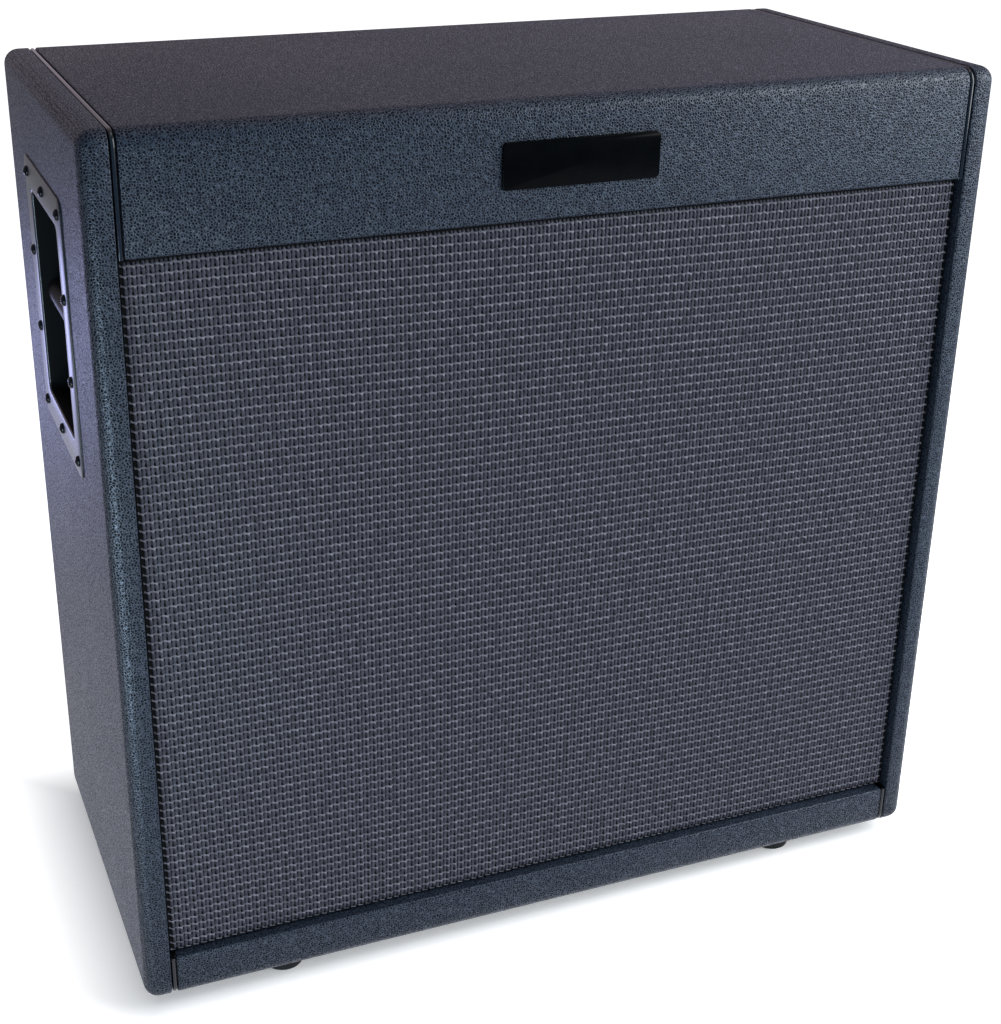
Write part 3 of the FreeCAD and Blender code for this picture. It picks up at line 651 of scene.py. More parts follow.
# Darker, duller copy of the dish paint: painted shade inside the recess of the dish.
TRAY_PAINTED_SHADE = mottled(
    "dull_black_painted_shade", grey(0.0015), grey(0.0025), (0.5, 0.6), 1.5 * MM, 0.05 * MM, shine=0.04
)
SCREW_BLACK = mottled("black_screw_steel", grey(0.001), grey(0.002), (0.1, 0.16), 3 * MM, shine=0.12)
FOOT_RUBBER = mottled("black_rubber", grey(0.002), grey(0.004), (0.6, 0.75), 2 * MM, 0.1 * MM, shine=0.15)
CUP_PLASTIC = mottled("black_moulded_plastic", grey(0.012), grey(0.022), (0.35, 0.5), 1 * MM, 0.05 * MM)
LEVER_PLASTIC = mottled("lever_plastic", grey(0.02), grey(0.04), (0.3, 0.4), 2 * MM)
NICKEL = mottled("nickel_plate", grey(0.55, 0.95), grey(0.7, 0.95), (0.18, 0.3), 4 * MM, metal=1.0)
BASKET_PAINT = mottled("grey_stoved_paint", grey(0.05), grey(0.09), (0.4, 0.5), 1 * MM, 0.05 * MM)
MAGNET_IRON = mottled("magnet_iron", grey(0.05), grey(0.1), (0.45, 0.6), 3 * MM, 0.1 * MM, metal=0.6)
PLATE_STEEL = mottled("zinc_plated_steel", grey(0.35), grey(0.5), (0.3, 0.42), 5 * MM, 0.03 * MM, metal=1.0)
CONE_PAPER = mottled(
    "pressed_cone_paper", grey(0.012, 0.9), grey(0.03, 0.9), (0.75, 0.9), 1.5 * MM, 0.15 * MM
)
EDGE_CLOTH = mottled("doped_edge_cloth", grey(0.01), grey(0.022), (0.5, 0.7), 0.8 * MM, 0.1 * MM)
SPIDER_CLOTH = mottled("spider_cloth", SPIDER_DARK, SPIDER_LIGHT, (0.7, 0.85), 0.8 * MM, 0.1 * MM)


# Vinyl coverings

def side_vinyl(side):
    low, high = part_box(side + "_covering")
    outer_x, inner_x = (low.x, high.x) if side == "left" else (high.x, low.x)
    into = math.copysign(1, inner_x - outer_x)
    piece = block(side + "_vinyl", low, high)
    on_inner = edges_at(0, inner_x)
    round_edges(piece, lambda a, b: not on_inner(a, b), EDGE_RADIUS, EDGE_STEPS)
    round_edges(piece, on_inner, GROOVE_EDGE, 3)
    inset_and_open(piece, faces_at(0, inner_x), GROOVE_DEPTH - GROOVE_EDGE)
    rim = Vector((0, 1, 1)) * (HANDLE["rim"] - VINYL_UNDER_RIM)
    dish_low, dish_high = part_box(side + "_handle_dish")
    cut_window(piece, faces_at(0, outer_x), (1, 2), dish_low + rim, dish_high - rim)
    thicken(piece, VINYL)
    strip_ends = (inner_x, inner_x - into * VINYL)
    strip = block(
        side + "_post_return",
        (min(strip_ends), front_y + GROOVE_DEPTH, opening["bottom"]),
        (max(strip_ends), baffle_y, opening["top"]),
    )
    round_edges(strip, lambda a, b: True, RETURN_EDGE, 1)
    piece = join([piece, strip])
    fit(piece, VINYL_FINISH, "vinyl", side + "_covering")


def wrapped_vinyl(level):
    """The sheet over the top and the valance, or under the bottom and up the front rail."""
    covering = level + "_covering"
    outer_z = outer_face(covering, level)
    inner_z = inner_face(level + "_panel", level)
    lip_z = opening[level]
    low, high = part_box(covering)
    slab_low = (low.x, low.y, min(outer_z, inner_z))
    slab_high = (high.x, high.y, max(outer_z, inner_z))
    piece = block(level + "_vinyl", slab_low, slab_high)
    is_inside = faces_at(2, inner_z)
    behind_lip = faces_at(1, baffle_y)

    def along_x(a, b):
        return near(a.y, b.y) and near(a.z, b.z)

    def on_outer_edge(a, b):
        return along_x(a, b) and near(a.z, outer_z) and (near(a.y, low.y) or near(a.y, high.y))

    def on_lip(a, b):
        return along_x(a, b) and near(a.z, lip_z) and near(a.y, low.y)

    def on_groove(a, b):
        return near(a.x, b.x) and (near(a.x, low.x) or near(a.x, high.x))

    def against_board(centre, normal):
        return is_inside(centre, normal) or behind_lip(centre, normal)

    slice_faces(piece, is_inside, (0, baffle_y, 0), (0, 1, 0))
    pick_faces(piece, lambda centre, normal: is_inside(centre, normal) and centre.y < baffle_y)
    draw_on((0, 0, lip_z - inner_z))
    done()
    round_edges(piece, on_outer_edge, EDGE_RADIUS, EDGE_STEPS)
    round_edges(piece, on_lip, SOFT_EDGE, 4)
    round_edges(piece, on_groove, GROOVE_EDGE, 3)
    remove_faces(piece, against_board)
    inset_and_open(piece, lambda centre, normal: abs(normal.x) > 0.99, GROOVE_DEPTH - GROOVE_EDGE)
    thicken(piece, VINYL)
    fit(piece, VINYL_FINISH, "vinyl", covering)


def back_vinyl():
    low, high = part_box("back_covering")
    piece = block("back_vinyl", low, high)
    round_edges(piece, edges_at(1, high.y), SOFT_EDGE, 3)
    remove_faces(piece, lambda centre, normal: normal.y < -0.9)
    cup_low, cup_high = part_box("jack_cup")
    rim = Vector((1, 0, 1)) * (CUP["rim"] - VINYL_UNDER_RIM)
    cut_window(piece, faces_at(1, high.y), (0, 2), cup_low + rim, cup_high - rim)
    thicken(piece, VINYL)
    fit(piece, VINYL_FINISH, "vinyl", "back_covering")


def run_in_groove(piece, x, level):
    """Draws a section on along the groove: up the front, round two corners and down the back."""
    outer_z = outer_face(level + "_covering", level)
    rear_end_z = inner_face(level + "_panel", level)
    end_z = opening[level]
    up = math.copysign(1, outer_z - end_z)
    corner_z = outer_z - up * EDGE_RADIUS
    bends = ((x, front_y + EDGE_RADIUS, corner_z), (x, rear_y - EDGE_RADIUS, corner_z))
    flat_run = rear_y - front_y - 2 * EDGE_RADIUS
    runs = ((0, 0, corner_z - end_z), (0, flat_run, 0))
    pick_all(piece)
    for run, bend in zip(runs, bends):
        draw_on(run)
        bpy.ops.mesh.spin(steps=EDGE_STEPS, angle=math.radians(90), center=bend, axis=(up, 0, 0))
    draw_on((0, 0, rear_end_z - corner_z))
    bpy.ops.mesh.select_all(action="SELECT")
    bpy.ops.mesh.fill_holes(sides=BEAD_SIDES)
    done()
    face_outwards(piece)


def piping(side, level):
    """Round bead in the groove, on the flat welt that it is sewn to."""
    name = side + "_" + level
    x = middle_of(name + "_piping").x
    end_z = opening[level]
    bead_y = front_y + BEAD_SUNK + BEAD_RADIUS
    bpy.ops.mesh.primitive_circle_add(vertices=BEAD_SIDES, radius=BEAD_RADIUS, location=(x, bead_y, end_z))
    bead = settle(name + "_bead")
    run_in_groove(bead, x, level)
    welt_y = front_y + GROOVE_DEPTH - WELT / 2
    bpy.ops.mesh.primitive_plane_add(size=1, location=(x, welt_y, end_z))
    bpy.context.object.scale = (GROOVE_WIDTH, WELT, 1)
    welt = settle(name + "_welt")
    pick_all(welt)
    bpy.ops.mesh.delete(type="ONLY_FACE")
    done()
    run_in_groove(welt, x, level)
    board_z = inner_face(PIPED_BOARD[level], level)
    tail_z = sorted((board_z, board_z + math.copysign(WELT, end_z - board_z)))
    tail = block(
        name + "_welt_tail",
        (x - GROOVE_WIDTH / 2, front_y + GROOVE_DEPTH - WELT, tail_z[0]),
        (x + GROOVE_WIDTH / 2, baffle_y, tail_z[1]),
    )
    piece = join([bead, welt, tail])
    fit(piece, PIPING_GLOSS, "piping", name + "_piping", angle=60)


for side in SIDES:
    side_vinyl(side)
    for level in LEVELS:
        piping(side, level)
for level in LEVELS:
    wrapped_vinyl(level)
back_vinyl()


# Grille cloth

def backing_sheet():
    """The cloth's own sheet, drawn over the frame's edges and back to the baffle; its near-black colour is
    painted shade seen through the weave's holes.
    """
    piece = block("grille_sheet", (cloth_low.x, sheet_face, cloth_low.z), cloth_high)
    round_edges(piece, lambda a, b: near(a.y, sheet_face) or near(b.y, sheet_face), CLOTH_EDGE, 4)
    remove_faces(piece, lambda centre, normal: normal.y > 0.9)
    thicken(piece, BACKING)
    return fit(piece, BACKING_CLOTH_PAINTED_SHADE, "grille_cloth", "grille_cloth")


def yarn(name, axis, shape, start, count, rows):
    """One family of threads: a flat tube that sways and lifts, repeated over the cloth."""
    pitch = pitch_x if axis == 0 else pitch_z
    across = 2 - axis
    piece = rod(name, (0, 0, 0), move_along(axis, 1), 1, pitch, YARN_SIDES, caps="NOTHING")
    pick_edges(piece, lambda a, b: abs(a[axis] - b[axis]) > pitch / 2)
    bpy.ops.mesh.subdivide(number_cuts=YARN_CUTS)
    done()
    for point in piece.data.vertices:
        angle = 2 * math.pi * point.co[axis] / pitch
        beat = math.cos(angle)
        lump = -math.cos(2 * angle)
        height = shape["lift"] * beat + shape["lumps"] * lump
        width = shape["width"] / 2 * (1 + YARN_SWELL * shape["lumps"] * lump)
        sway = shape["sway"] * beat - shape["slant"] * math.sin(angle)
        point.co.y = point.co.y * shape["depth"] * MM - height * MM
        point.co[across] = point.co[across] * width * MM + sway * MM
    piece.data.transform(Matrix.Translation(start))
    repeat(piece, count, move_along(axis, pitch))
    repeat(piece, rows, move_along(across, pitch_z if axis == 0 else pitch_x))
    return piece


def wander(along, across, how_far, length, bend, bend_length):
    return how_far * numpy.sin(along / length + bend * numpy.sin(across / bend_length))


def settle_weave(piece):
    """Closes the threads' cut ends, lets them wander and rolls the cloth back at its edges."""
    pick_all(piece)
    bpy.ops.mesh.fill_holes(sides=YARN_SIDES)
    done()
    places = numpy.empty(len(piece.data.vertices) * 3)
    piece.data.vertices.foreach_get("co", places)
    places = places.reshape(-1, 3)
    x = places[:, 0].copy()
    z = places[:, 2].copy()
    places[:, 0] += wander(z, x, *WARP_WANDER)
    places[:, 2] += wander(x, z, *WEFT_WANDER)
    places[:, 1] += CLOTH_RIPPLE * numpy.sin(x / RIPPLE_X + z / RIPPLE_Z)
    to_side = numpy.minimum(x - cloth_low.x, cloth_high.x - x)
    to_end = numpy.minimum(z - cloth_low.z, cloth_high.z - z)
    roll = 1 - numpy.clip(numpy.minimum(to_side, to_end) / CLOTH_ROLL, 0, 1)
    places[:, 1] += CLOTH_ROLL_BACK * roll**2
    places[:, 0] = numpy.clip(places[:, 0], cloth_low.x, cloth_high.x)
    places[:, 2] = numpy.clip(places[:, 2], cloth_low.z, cloth_high.z)
    piece.data.vertices.foreach_set("co", places.ravel())
    piece.data.update()


def woven_strip(number, first, count):
    """One strip of the weave: light wefts over pairs of grey warps, with dark tie wefts between."""
    left = cloth_low.x + pitch_x * (first + 0.5)
    foot = cloth_low.z + pitch_z * FIRST_WEFT
    aside = WARP_ASIDE * pitch_x
    families = (
        ("light_wefts", WEFT_YARN, 0, WEFT, 0, 0),
        ("dark_ties", TIE_YARN, 0, TIE, 0, pitch_z / 2),
        ("left_warps", WARP_YARN, 2, WARP, -aside, 0),
        ("right_warps", WARP_YARN, 2, WARP, aside, 0),
    )
    made = []
    for name, finish, axis, shape, x, z in families:
        start = (left + x, sheet_face - shape["forward"] * MM, foot + z)
        along, across = (count, CLOTH_ROWS) if axis == 0 else (CLOTH_ROWS, count)
        piece = yarn(name + "_" + str(number), axis, shape, start, along, across)
        settle_weave(piece)
        made.append(fit(piece, finish, "grille_cloth", angle=80))
    return made


def grille():
    sheet = backing_sheet()
    threads = []
    edges = [round(CLOTH_COLUMNS * index / CLOTH_STRIPS) for index in range(CLOTH_STRIPS + 1)]
    for number, (first, after) in enumerate(zip(edges, edges[1:]), start=1):
        threads += woven_strip(number, first, after - first)


grille()


# Badge plate, left bare

def badge():
    low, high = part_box("badge_plate")
    piece = block("bare_badge_plate", low, high)
    round_edges(piece, lambda a, b: not near(a.y, b.y), BADGE_CORNER, 6)
    round_edges(piece, edges_at(1, low.y), BADGE_BEVEL, 3)
    fit(piece, BADGE_LACQUER, "badge", "badge_plate")


badge()


# Screws

def screw_master(radius, height):
    """A domed head with a cross recess, seated at the origin and pointing up."""
    skirt = 0.2 * height
    dome = height - skirt
    head = rod("screw_head", (0, 0, skirt / 2), (0, 0, 1), radius, skirt, 20)
    pick_faces(head, faces_at(2, skirt))
    for index in range(DOME_STEPS):
        first = DOME_STEP * index
        second = DOME_STEP * (index + 1)
        shrink = math.cos(second) / math.cos(first)
        draw_in(2, dome * (math.sin(second) - math.sin(first)), (shrink, shrink), (0, 0, 0))
    done()
    arm = 0.42 * radius
    slot = 0.1 * radius
    floor = 0.6 * height
    first = block("recess_arm", (-arm, -slot, floor), (arm, slot, 2 * height))
    second = block("recess_arm", (-slot, -arm, floor), (slot, arm, 2 * height))
    cut_away(head, join([first, second]))
    return head


def screws(name, node_name, axis):
    """A screw on each seat of a CAD node, each turned on a little from the last."""
    axis = Vector(axis)
    seats = solids_of(node_name)
    size = seats[0][1] - seats[0][0]
    height = abs(size.dot(axis))
    places = []
    for index, (low, high) in enumerate(seats):
        seat = (low + high) / 2 - axis * height / 2
        spin = Matrix.Rotation(SCREW_TURN * index, 4, "Z")
        places.append(Matrix.Translation(seat) @ upright_to(axis) @ spin)
    piece = set_copies(name, screw_master(max(size) / 2, height), places)
    fit(piece, SCREW_BLACK, "screw_metal", node_name)


# Handles

def round_corner(step, radius, lead_in):
    """Quarter-round: from flat to deep when it leads in, from deep to flat when it doesn't."""
    for index in range(TRAY_STEPS):
        first = math.radians(90) * index / TRAY_STEPS
        second = math.radians(90) * (index + 1) / TRAY_STEPS
        level = radius * (math.sin(second) - math.sin(first))
        steep = radius * (math.cos(first) - math.cos(second))
        if lead_in:
            step(steep, level)
        else:
            step(level, steep)


def pressed_tray(name, low, high, axis, mouth, corner, rim, draft, floor_round, lip, sheet):
    """Flange, rolled lip and deep tub in one sheet; mouth is the flange's place along the axis."""
    centre = (low + high) / 2
    half = (high - low) / 2
    into = math.copysign(1, centre[axis] - mouth)
    around = [side for side in range(3) if side != axis]
    piece = block(name, low, high)
    remove_faces(piece, lambda middle, normal: not near(middle[axis], mouth))
    pick_points(piece)
    bpy.ops.mesh.bevel(offset=corner, segments=6, affect="VERTICES")
    bpy.ops.mesh.delete(type="ONLY_FACE")
    bpy.ops.mesh.select_all(action="SELECT")
    reach = [half[side] for side in around]

    def step(move, inwards):
        after = [size - inwards for size in reach]
        draw_in(axis, into * move, [new / old for new, old in zip(after, reach)], centre)
        reach[:] = after

    step(0, rim - lip)
    round_corner(step, lip, lead_in=True)
    step(2 * half[axis] - sheet - lip - floor_round, draft)
    round_corner(step, floor_round, lead_in=False)
    bpy.ops.mesh.edge_face_add()
    done()
    if piece.data.polygons[0].normal[axis] * into > 0:
        pick_all(piece)
        bpy.ops.mesh.flip_normals()
        done()
    thicken(piece, sheet)

    def on_rim(point):
        past = [abs(point[side] - centre[side]) - half[side] for side in around]
        return near(point[axis], mouth) and max(past) > -corner - 0.1 * MM

    round_edges(piece, lambda a, b: on_rim(a) and on_rim(b), TRAY_EDGE, 2)
    return piece


def handle_dish(side):
    low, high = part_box(side + "_handle_dish")
    mouth = low.x if side == "left" else high.x
    piece = pressed_tray(side + "_handle_tray", low, high, 0, mouth, **HANDLE)
    fit(piece, HANDLE_PAINT, "handle_metal", side + "_handle_dish")
    tub = abs(mouth) - 2 * HANDLE["lip"] - HANDLE["sheet"]
    # Inside the flange the dish takes the darker copy of its paint: painted shade in the recess.
    second_finish(piece, TRAY_PAINTED_SHADE, lambda point: abs(point.x) < tub)


def grip_bar(side):
    """Round bar across the dish, flared a little where it is welded to the walls."""
    low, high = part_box(side + "_handle_bar")
    centre = (low + high) / 2
    radius = (high.z - low.z) / 2
    length = high.y - low.y
    piece = rod(side + "_grip_bar", centre, (0, 1, 0), radius, length - 2 * BAR_FLARE)
    for end in (-1, 1):
        end_centre = (centre.x, centre.y + end * length / 2, centre.z)
        pick_faces(piece, faces_at(1, centre.y + end * (length / 2 - BAR_FLARE)))
        draw_on((0, end * BAR_FLARE, 0))
        bpy.ops.transform.resize(value=(BAR_FLARE_WIDTH, 1, BAR_FLARE_WIDTH), center_override=end_centre)
        done()
    fit(piece, GRIP_PAINT, "handle_metal", side + "_handle_bar", angle=50)


for side, outward in zip(SIDES, ((-1, 0, 0), (1, 0, 0))):
    handle_dish(side)
    grip_bar(side)
    screws(side + "_handle_domed_screws", side + "_handle_screws", outward)


# Feet

def feet():
    made = []
    for low, high in solids_of("rubber_feet"):
        radius = (high.x - low.x) / 2
        tall = high.z - low.z
        well = FOOT_WELL_WIDTH * radius
        outline = [
            (0, 0),
            (radius - FOOT_BEVEL, 0),
            (radius, FOOT_BEVEL),
            (radius - FOOT_TAPER, tall - FOOT_TREAD),
            (radius - 2 * FOOT_TAPER, tall - 2 * FOOT_TAPER),
            (radius - FOOT_TREAD, tall),
            (well + FOOT_BEVEL, tall),
            (well, tall - FOOT_BEVEL),
            (well, tall - FOOT_WELL_DEPTH),
            (0, tall - FOOT_WELL_DEPTH),
        ]
        top = ((low.x + high.x) / 2, (low.y + high.y) / 2, high.z)
        made.append(turned("foot", outline, top, (0, 0, -1)))
    piece = join(made)
    piece.name = "round_rubber_feet"
    fit(piece, FOOT_RUBBER, "foot_rubber", "rubber_feet")


feet()
screws("foot_fixing_screws", "foot_screws", (0, 0, -1))


# Back: screws, jack cup, sockets, switch

screws("back_domed_screws", "back_panel_screws", (0, 1, 0))
screws("cup_domed_screws", "jack_cup_screws", (0, 1, 0))


def lever_slot():
    """A block as large as the slot that the lever slides in."""
    low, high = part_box("selector_switch_lever")
    room = Vector((LEVER_CLEARANCE, LEVER_CLEARANCE, LEVER_CLEARANCE))
    return block("slot_room", low - room, high + room + Vector((LEVER_TRAVEL, 0, 0)))


def jack_cup():
    low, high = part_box("jack_cup")
    piece = pressed_tray("recessed_jack_cup", low, high, 1, high.y, **CUP)
    cut_away(piece, lever_slot())
    for side in SIDES:
        centre = middle_of(side + "_jack_socket")
        hole = rod("jack_hole", (centre.x, low.y, centre.z), (0, 1, 0), JACK_HOLE, 5 * CUP["sheet"])
        cut_away(piece, hole)
    fit(piece, CUP_PLASTIC, "cup_plastic", "jack_cup")


def jack_socket(side):
    """Moulded body behind the cup, with a threaded nickel bush through its floor."""
    low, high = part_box(side + "_jack_socket")
    centre = Vector(((low.x + high.x) / 2, low.y + JACK_BODY, (low.z + high.z) / 2))
    body = block(side + "_jack", low, (high.x, centre.y, high.z))
    round_edges(body, lambda a, b: True, JACK_EDGE, 2)
    length = high.y - centre.y
    bush = JACK_BORE + BUSH_WALL
    outline = [(JACK_BORE, -BUSH_FOOT), (bush, -BUSH_FOOT)]
    for turn in range(THREAD_TURNS):
        outline.append((bush - THREAD_DEPTH, length * (0.3 + 0.1 * turn)))
        outline.append((bush, length * (0.35 + 0.1 * turn)))
    outline.append((bush - 0.6 * MM, length))
    outline.append((JACK_BORE + 0.4 * MM, length))
    outline.append((JACK_BORE, length - 0.5 * MM))
    bore_y = centre.y - JACK_BORE_ROOM / 3
    bore = rod("bore_room", (centre.x, bore_y, centre.z), (0, 1, 0), JACK_BORE, JACK_BORE_ROOM)
    cut_away(body, bore)
    piece = join([body, turned("bush", outline, centre, (0, 1, 0))])
    fit(piece, CUP_PLASTIC, "cup_plastic", side + "_jack_socket")
    second_finish(piece, NICKEL, lambda point: point.y > centre.y + 0.1 * MM)


def hex_nut(flats, height, hole):
    """A nut with its corners taken off, seated at the origin and pointing up."""
    nut = rod("nut", (0, 0, height / 2), (0, 0, 1), flats / 2 / math.cos(math.radians(30)), height, 6)
    round_edges(nut, edges_at(2, height), 0.12 * height, 2)
    cut_away(nut, rod("thread_room", (0, 0, height / 2), (0, 0, 1), hole, 2 * height, 24))
    return nut


def nuts(name, node_name, hole):
    """A nut on each seat of a CAD node, pointing to the rear."""
    seats = solids_of(node_name)
    low, high = seats[0]
    flats = min(high.x - low.x, high.z - low.z)
    master = hex_nut(flats, high.y - low.y, hole)
    places = []
    for low, high in seats:
        middle = (low + high) / 2
        places.append(Matrix.Translation((middle.x, low.y, middle.z)) @ upright_to((0, 1, 0)))
    piece = set_copies(name, master, places)
    fit(piece, NICKEL, "nut_steel", node_name)


def switch_body():
    low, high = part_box("selector_switch_body")
    piece = block("slide_switch_case", low, high)
    round_edges(piece, lambda a, b: True, SWITCH_EDGE, 2)
    cut_away(piece, lever_slot())
    fit(piece, CUP_PLASTIC, "cup_plastic", "selector_switch_body")


def switch_lever():
    """Small bar with rounded edges and two finger grooves across its end."""
    low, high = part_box("selector_switch_lever")
    piece = block("slide_switch_lever", low, high)
    round_edges(piece, lambda a, b: True, LEVER_EDGE, 2)
    for share in (0.33, 0.67):
        x = low.x + (high.x - low.x) * share
        groove_low = (x - FINGER_GROOVE / 2, high.y - FINGER_GROOVE_DEPTH, low.z - 1 * MM)
        groove_high = (x + FINGER_GROOVE / 2, high.y + 1 * MM, high.z + 1 * MM)
        cut_away(piece, block("finger_groove", groove_low, groove_high))
    fit(piece, LEVER_PLASTIC, "lever_plastic", "selector_switch_lever", body="selector_lever")


jack_cup()
for side in SIDES:
    jack_socket(side)
nuts("hexagon_jack_nuts", "jack_nuts", JACK_HOLE)
switch_body()
switch_lever()


# Loudspeakers

def speaker_centre(speaker):
    low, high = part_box(speaker + "_basket")
    return Vector(((low.x + high.x) / 2, low.y, (low.z + high.z) / 2))


def speaker_turned(name, outline, centre):
    in_metres = [(radius * MM, depth * MM) for radius, depth in outline]
    return turned(name, in_metres, centre, (0, 1, 0))


def pressed_basket(speaker, centre):
    """Pressed frame drawn ring by ring from the flange, with windows between its spokes."""
    profile = BASKET_FLANGE + BASKET_WALL + BASKET_SEAT
    radius, depth = profile[0]
    bpy.ops.mesh.primitive_circle_add(
        vertices=TURN_STEPS,
        radius=radius * MM,
        location=centre + Vector((0, depth * MM, 0)),
        rotation=(math.radians(90), 0, 0),
    )
    piece = settle(speaker + "_pressed_basket")
    pick_points(piece)
    for (radius, depth), (next_radius, next_depth) in zip(profile, profile[1:]):
        shrink = next_radius / radius
        draw_in(1, (next_depth - depth) * MM, (shrink, shrink), centre)
    done()
    sector = 2 * math.pi / SPOKES

    def in_window(middle, normal):
        radius = (middle - centre).xz.length
        turn = (math.atan2(middle.z - centre.z, middle.x - centre.x) + sector / 2) % sector
        between_spokes = abs(turn - sector / 2) > SPOKE_SHARE * sector
        return between_spokes and WINDOW_INNER * MM < radius < WINDOW_OUTER * MM

    remove_faces(piece, in_window)
    face_outwards(piece)
    thicken(piece, BASKET_SHEET * MM, offset=0)
    fit(piece, BASKET_PAINT, "basket_metal", speaker + "_basket")


def magnet(speaker, centre):
    """Ferrite ring between two steel plates, with the gap round the pole for the voice coil."""
    outline = POLE + COIL_GAP + FRONT_PLATE + FERRITE + REAR_PLATE
    piece = speaker_turned(speaker + "_magnet_and_plates", outline, centre)
    fit(piece, MAGNET_IRON, "magnet_iron", speaker + "_magnet")
    steel = (PLATE_RADIUS + 0.1) * MM
    second_finish(piece, PLATE_STEEL, lambda point: (point - centre).xz.length < steel)


def cone_front(radius):
    return CONE_SET_BACK + (CONE_RADIUS - radius) * CONE_SLOPE


def ribbed_cone(speaker, centre):
    """Paper cone with pressed ribs, a domed dust cap and the tube that carries the voice coil."""
    front = []
    for index in range(CONE_STEPS + 1):
        radius = CONE_RADIUS + (CAP_RADIUS - CONE_RADIUS) * index / CONE_STEPS
        rib = CONE_RIB if index in CONE_RIBS else 0.0
        front.append((radius, cone_front(radius) - rib))
    inside_cap = CAP_RADIUS - CAP_WALL
    dome = []
    under = []
    for index in range(1, CAP_STEPS + 1):
        angle = math.radians(90) * index / CAP_STEPS
        rise = CAP_RISE * math.sin(angle)
        dome.append((CAP_RADIUS * math.cos(angle), cone_front(CAP_RADIUS) - rise))
        under.append((inside_cap * math.cos(angle), cone_front(inside_cap) - rise))
    neck = FORMER_RADIUS - FORMER_WALL
    rear = [
        (inside_cap, cone_front(inside_cap)),
        (neck, cone_front(neck)),
        (neck, FORMER_END),
        (FORMER_RADIUS, FORMER_END),
        (FORMER_RADIUS, cone_front(FORMER_RADIUS) + CONE_PAPER_THICK),
        (CONE_RADIUS, CONE_SET_BACK + CONE_PAPER_THICK),
    ]
    piece = speaker_turned(speaker + "_paper_cone", front + dome + under[::-1] + rear, centre)
    fit(piece, CONE_PAPER, "cone_paper", speaker + "_cone", body=speaker + "_moving_cone", angle=50)


def rippled_cloth(speaker, centre, name, replaced, finish, ring):
    """A ring of cloth between the basket and the cone, from its lap to its collar."""
    line = [(ring["lap"], ring["depth"] + ring["wave"])]
    for index in range(ring["steps"] + 1):
        share = index / ring["steps"]
        radius = ring["outer"] + (ring["inner"] - ring["outer"]) * share
        line.append((radius, ring["depth"] + ring["wave"] * math.cos(2 * math.pi * ring["waves"] * share)))
    line += ring["collar"]
    rear = [(radius, depth + ring["thick"]) for radius, depth in reversed(line)]
    piece = speaker_turned(speaker + name, line + rear, centre)
    fit(piece, finish, "surround_fabric", speaker + replaced, body=None, angle=80)
    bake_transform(piece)


for number in range(1, 5):
    speaker = "speaker_%d" % number
    centre = speaker_centre(speaker)
    pressed_basket(speaker, centre)
    magnet(speaker, centre)
    ribbed_cone(speaker, centre)
    rippled_cloth(speaker, centre, "_pleated_surround", "_surround", EDGE_CLOTH, SURROUND)
    rippled_cloth(speaker, centre, "_rippled_spider", "_spider", SPIDER_CLOTH, SPIDER)
nuts("speaker_fixing_nuts", "speaker_bolts", BOLT_RADIUS)


# Boards

def carry_over(names, material):
    """CAD boards that keep their own shape."""
    for name in names:
        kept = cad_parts[name]
        kept.data.materials.clear()
        kept.data.materials.append(material)


carry_over(["top_panel", "bottom_panel", "left_side_panel", "right_side_panel"], BLACK_BOARD)
carry_over(["valance_board", "bottom_rail", "baffle_board", "grille_frame"], BLACK_BOARD)
carry_over(["back_panel", "back_battens", "centre_brace"], PLYWOOD)


# Studio

def mirrored_rays(tree, path):
    """1 where a ray comes by way of a mirror or through glass."""
    return calc(tree, "ADD", path.outputs["Is Glossy Ray"], path.outputs["Is Transmission Ray"], clamp=True)


def studio_floor():
    """Pale floor, seen white, with the cabinet's shadow, partly real and partly painted by a weaker glow
    near the cabinet; mirrored, it fades into a dim room.
    """
    bpy.ops.mesh.primitive_plane_add(size=12, location=(0.3, 1.0, 0))
    floor = settle("studio_floor")
    pale = mottled("pale_floor", grey(0.84), grey(0.86), (0.85, 0.9), 400 * MM)
    tree = pale.node_tree
    shader = tree.nodes["Principled BSDF"]
    path = tree.nodes.new("ShaderNodeLightPath")
    place = node(tree, "ShaderNodeSeparateXYZ", {0: tree.nodes["Texture Coordinate"].outputs["Object"]})
    beside = calc(tree, "SUBTRACT", calc(tree, "ABSOLUTE", place.outputs["X"]), cad_high.x)
    before = calc(tree, "SUBTRACT", calc(tree, "ABSOLUTE", place.outputs["Y"]), cad_high.y)
    away = calc(tree, "MAXIMUM", beside, before)
    # The glow seen from the camera is weaker near and under the cabinet: a painted shadow on top of the
    # real one.
    seen = spread(tree, away, *FLOOR_GLOW_AND_PAINTED_SHADOW, FLOOR_PAINTED_SHADOW_SPAN)
    mirrored = spread(tree, away, *FLOOR_MIRRORED, FLOOR_MIRRORED_SPAN)
    front_span = (-cad_high.y, -cad_high.y - FLOOR_FRONT_SPAN)
    in_front = spread(tree, place.outputs["Y"], 0.0, 1.0, front_span)
    mirror = mirrored_rays(tree, path)
    direct = calc(tree, "MULTIPLY", path.outputs["Is Camera Ray"], seen)
    glossy = calc(tree, "MULTIPLY", mirror, spread(tree, in_front, mirrored, FLOOR_MIRRORED_IN_FRONT))
    tree.links.new(calc(tree, "ADD", direct, glossy), shader.inputs["Emission Strength"])
    tint = calc(tree, "MULTIPLY", mirror, spread(tree, in_front, 0.5, 1.0))
    tones = ramp(tree, tint, WHITE, FLOOR_IN_FRONT)
    tones.node.color_ramp.elements.new(0.5).color = FLOOR_BESIDE
    tree.links.new(tones, shader.inputs["Emission Color"])
    floor.data.materials.append(pale)


def background(tree, colour, strength):
    return node(tree, "ShaderNodeBackground", {"Color": colour, "Strength": strength}).outputs["Background"]


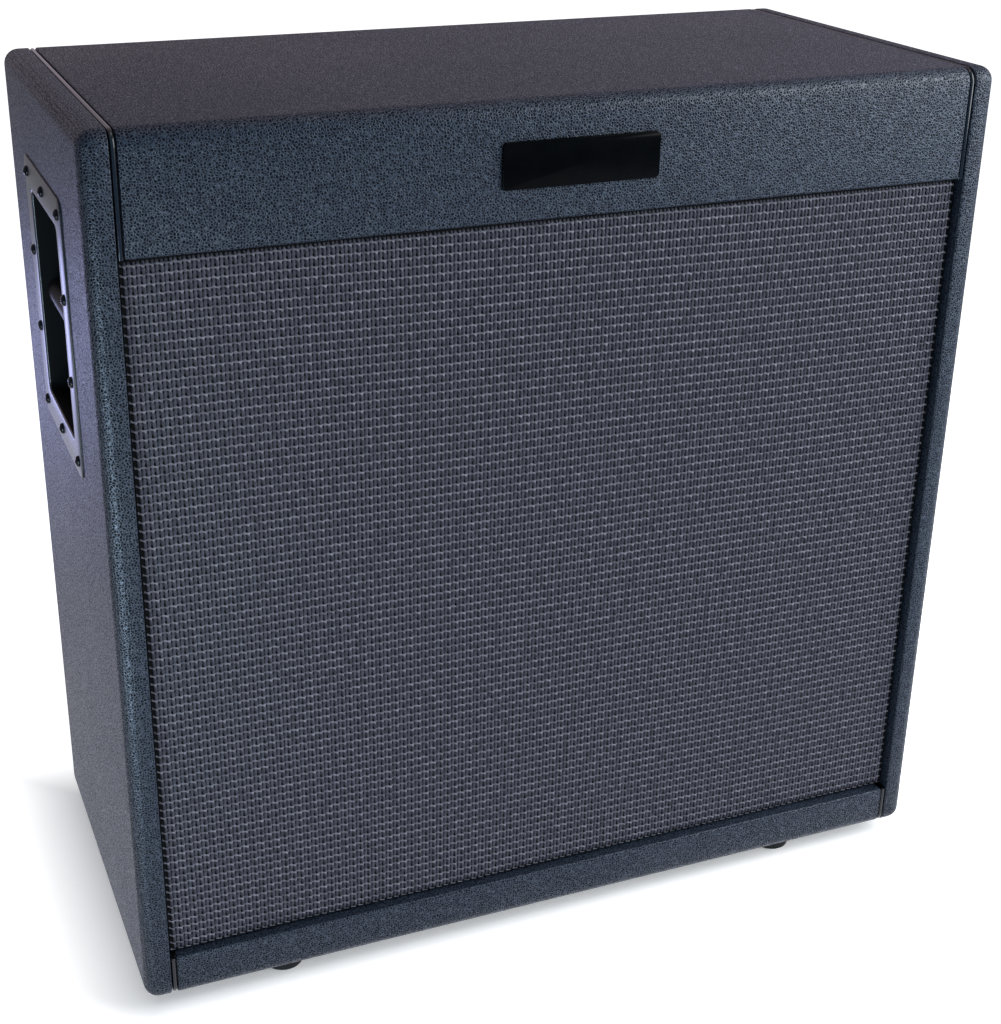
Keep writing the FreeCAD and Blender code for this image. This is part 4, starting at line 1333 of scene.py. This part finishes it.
def studio_world():
    """White where it is seen and soft as a fill light; mirrored, cool in front and dimmer behind."""
    world = bpy.data.worlds.new("studio_world")
    bpy.context.scene.world = world
    world.use_nodes = True
    tree = world.node_tree
    tree.nodes.clear()
    path = tree.nodes.new("ShaderNodeLightPath")
    heading = tree.nodes.new("ShaderNodeTexCoord").outputs["Generated"]
    ahead = node(tree, "ShaderNodeSeparateXYZ", {0: heading}).outputs["Y"]
    room = ramp(tree, spread(tree, ahead, 0.0, 1.0, ROOM_TURN), ROOM_IN_FRONT, ROOM_BEHIND)
    soft = background(tree, WHITE, ROOM_FILL)
    mirrored = background(tree, room, 1.0)
    seen = background(tree, WHITE, 1.0)
    unseen = node(tree, "ShaderNodeMixShader", {0: mirrored_rays(tree, path), 1: soft, 2: mirrored})
    layers = {0: path.outputs["Is Camera Ray"], 1: unseen.outputs["Shader"], 2: seen}
    mix = node(tree, "ShaderNodeMixShader", layers)
    out = tree.nodes.new("ShaderNodeOutputWorld")
    tree.links.new(mix.outputs["Shader"], out.inputs["Surface"])


def soft_lamp(name, place, aim, size, watts, colour, gloss_only=False):
    data = bpy.data.lights.new(name, "AREA")
    data.shape = "RECTANGLE"
    data.size, data.size_y = size
    data.energy = watts
    data.color = colour
    lamp = bpy.data.objects.new(name, data)
    bpy.context.collection.objects.link(lamp)
    lamp.location = place
    lamp.rotation_euler = (Vector(aim) - Vector(place)).to_track_quat("-Z", "Y").to_euler()
    lamp.visible_diffuse = not gloss_only


def photo_camera():
    """The photograph's camera, fitted to the corners of the box."""
    data = bpy.data.cameras.new("photo_camera")
    data.lens = 59.617
    data.sensor_width = 36
    data.shift_x = 0.04135
    data.shift_y = -0.03491
    camera = bpy.data.objects.new("photo_camera", data)
    bpy.context.collection.objects.link(camera)
    camera.location = (-0.5664, -1.35685, 1.0179)
    camera.rotation_euler = [math.radians(angle) for angle in (66.4926, -0.38873, -21.48267)]
    bpy.context.scene.camera = camera


studio_floor()
studio_world()
# Each lamp: where it stands, what it points at, its size, watts and colour
soft_lamp(
    "left_front_strip",
    (-0.7, -0.44, 0.28),
    (-0.385, -0.18, 0.28),
    (0.1, 0.55),
    7,
    (0.6, 0.8, 1.0),
    gloss_only=True,
)
soft_lamp("left_rear_softbox", (-0.9, 1.2, 0.15), (-0.385, 0, 0.1), (0.5, 0.25), 2.6, (0.5, 0.53, 1.0))
soft_lamp("top_softbox", (0.3, -0.3, 2.7), (0, 0, 0.4), (0.7, 0.7), 8, (1.0, 0.85, 0.8))
soft_lamp("right_softbox", (1.3, -0.9, 1.1), (0.2, -0.18, 0.45), (1.4, 1.4), 50, (0.93, 0.97, 1.0))
soft_lamp("front_low_softbox", (-0.4, -1.2, 0.12), (-0.1, -0.18, 0.03), (0.6, 0.15), 5, (0.85, 0.94, 1.0))
photo_camera()
bpy.context.scene.view_settings.view_transform = "Standard"
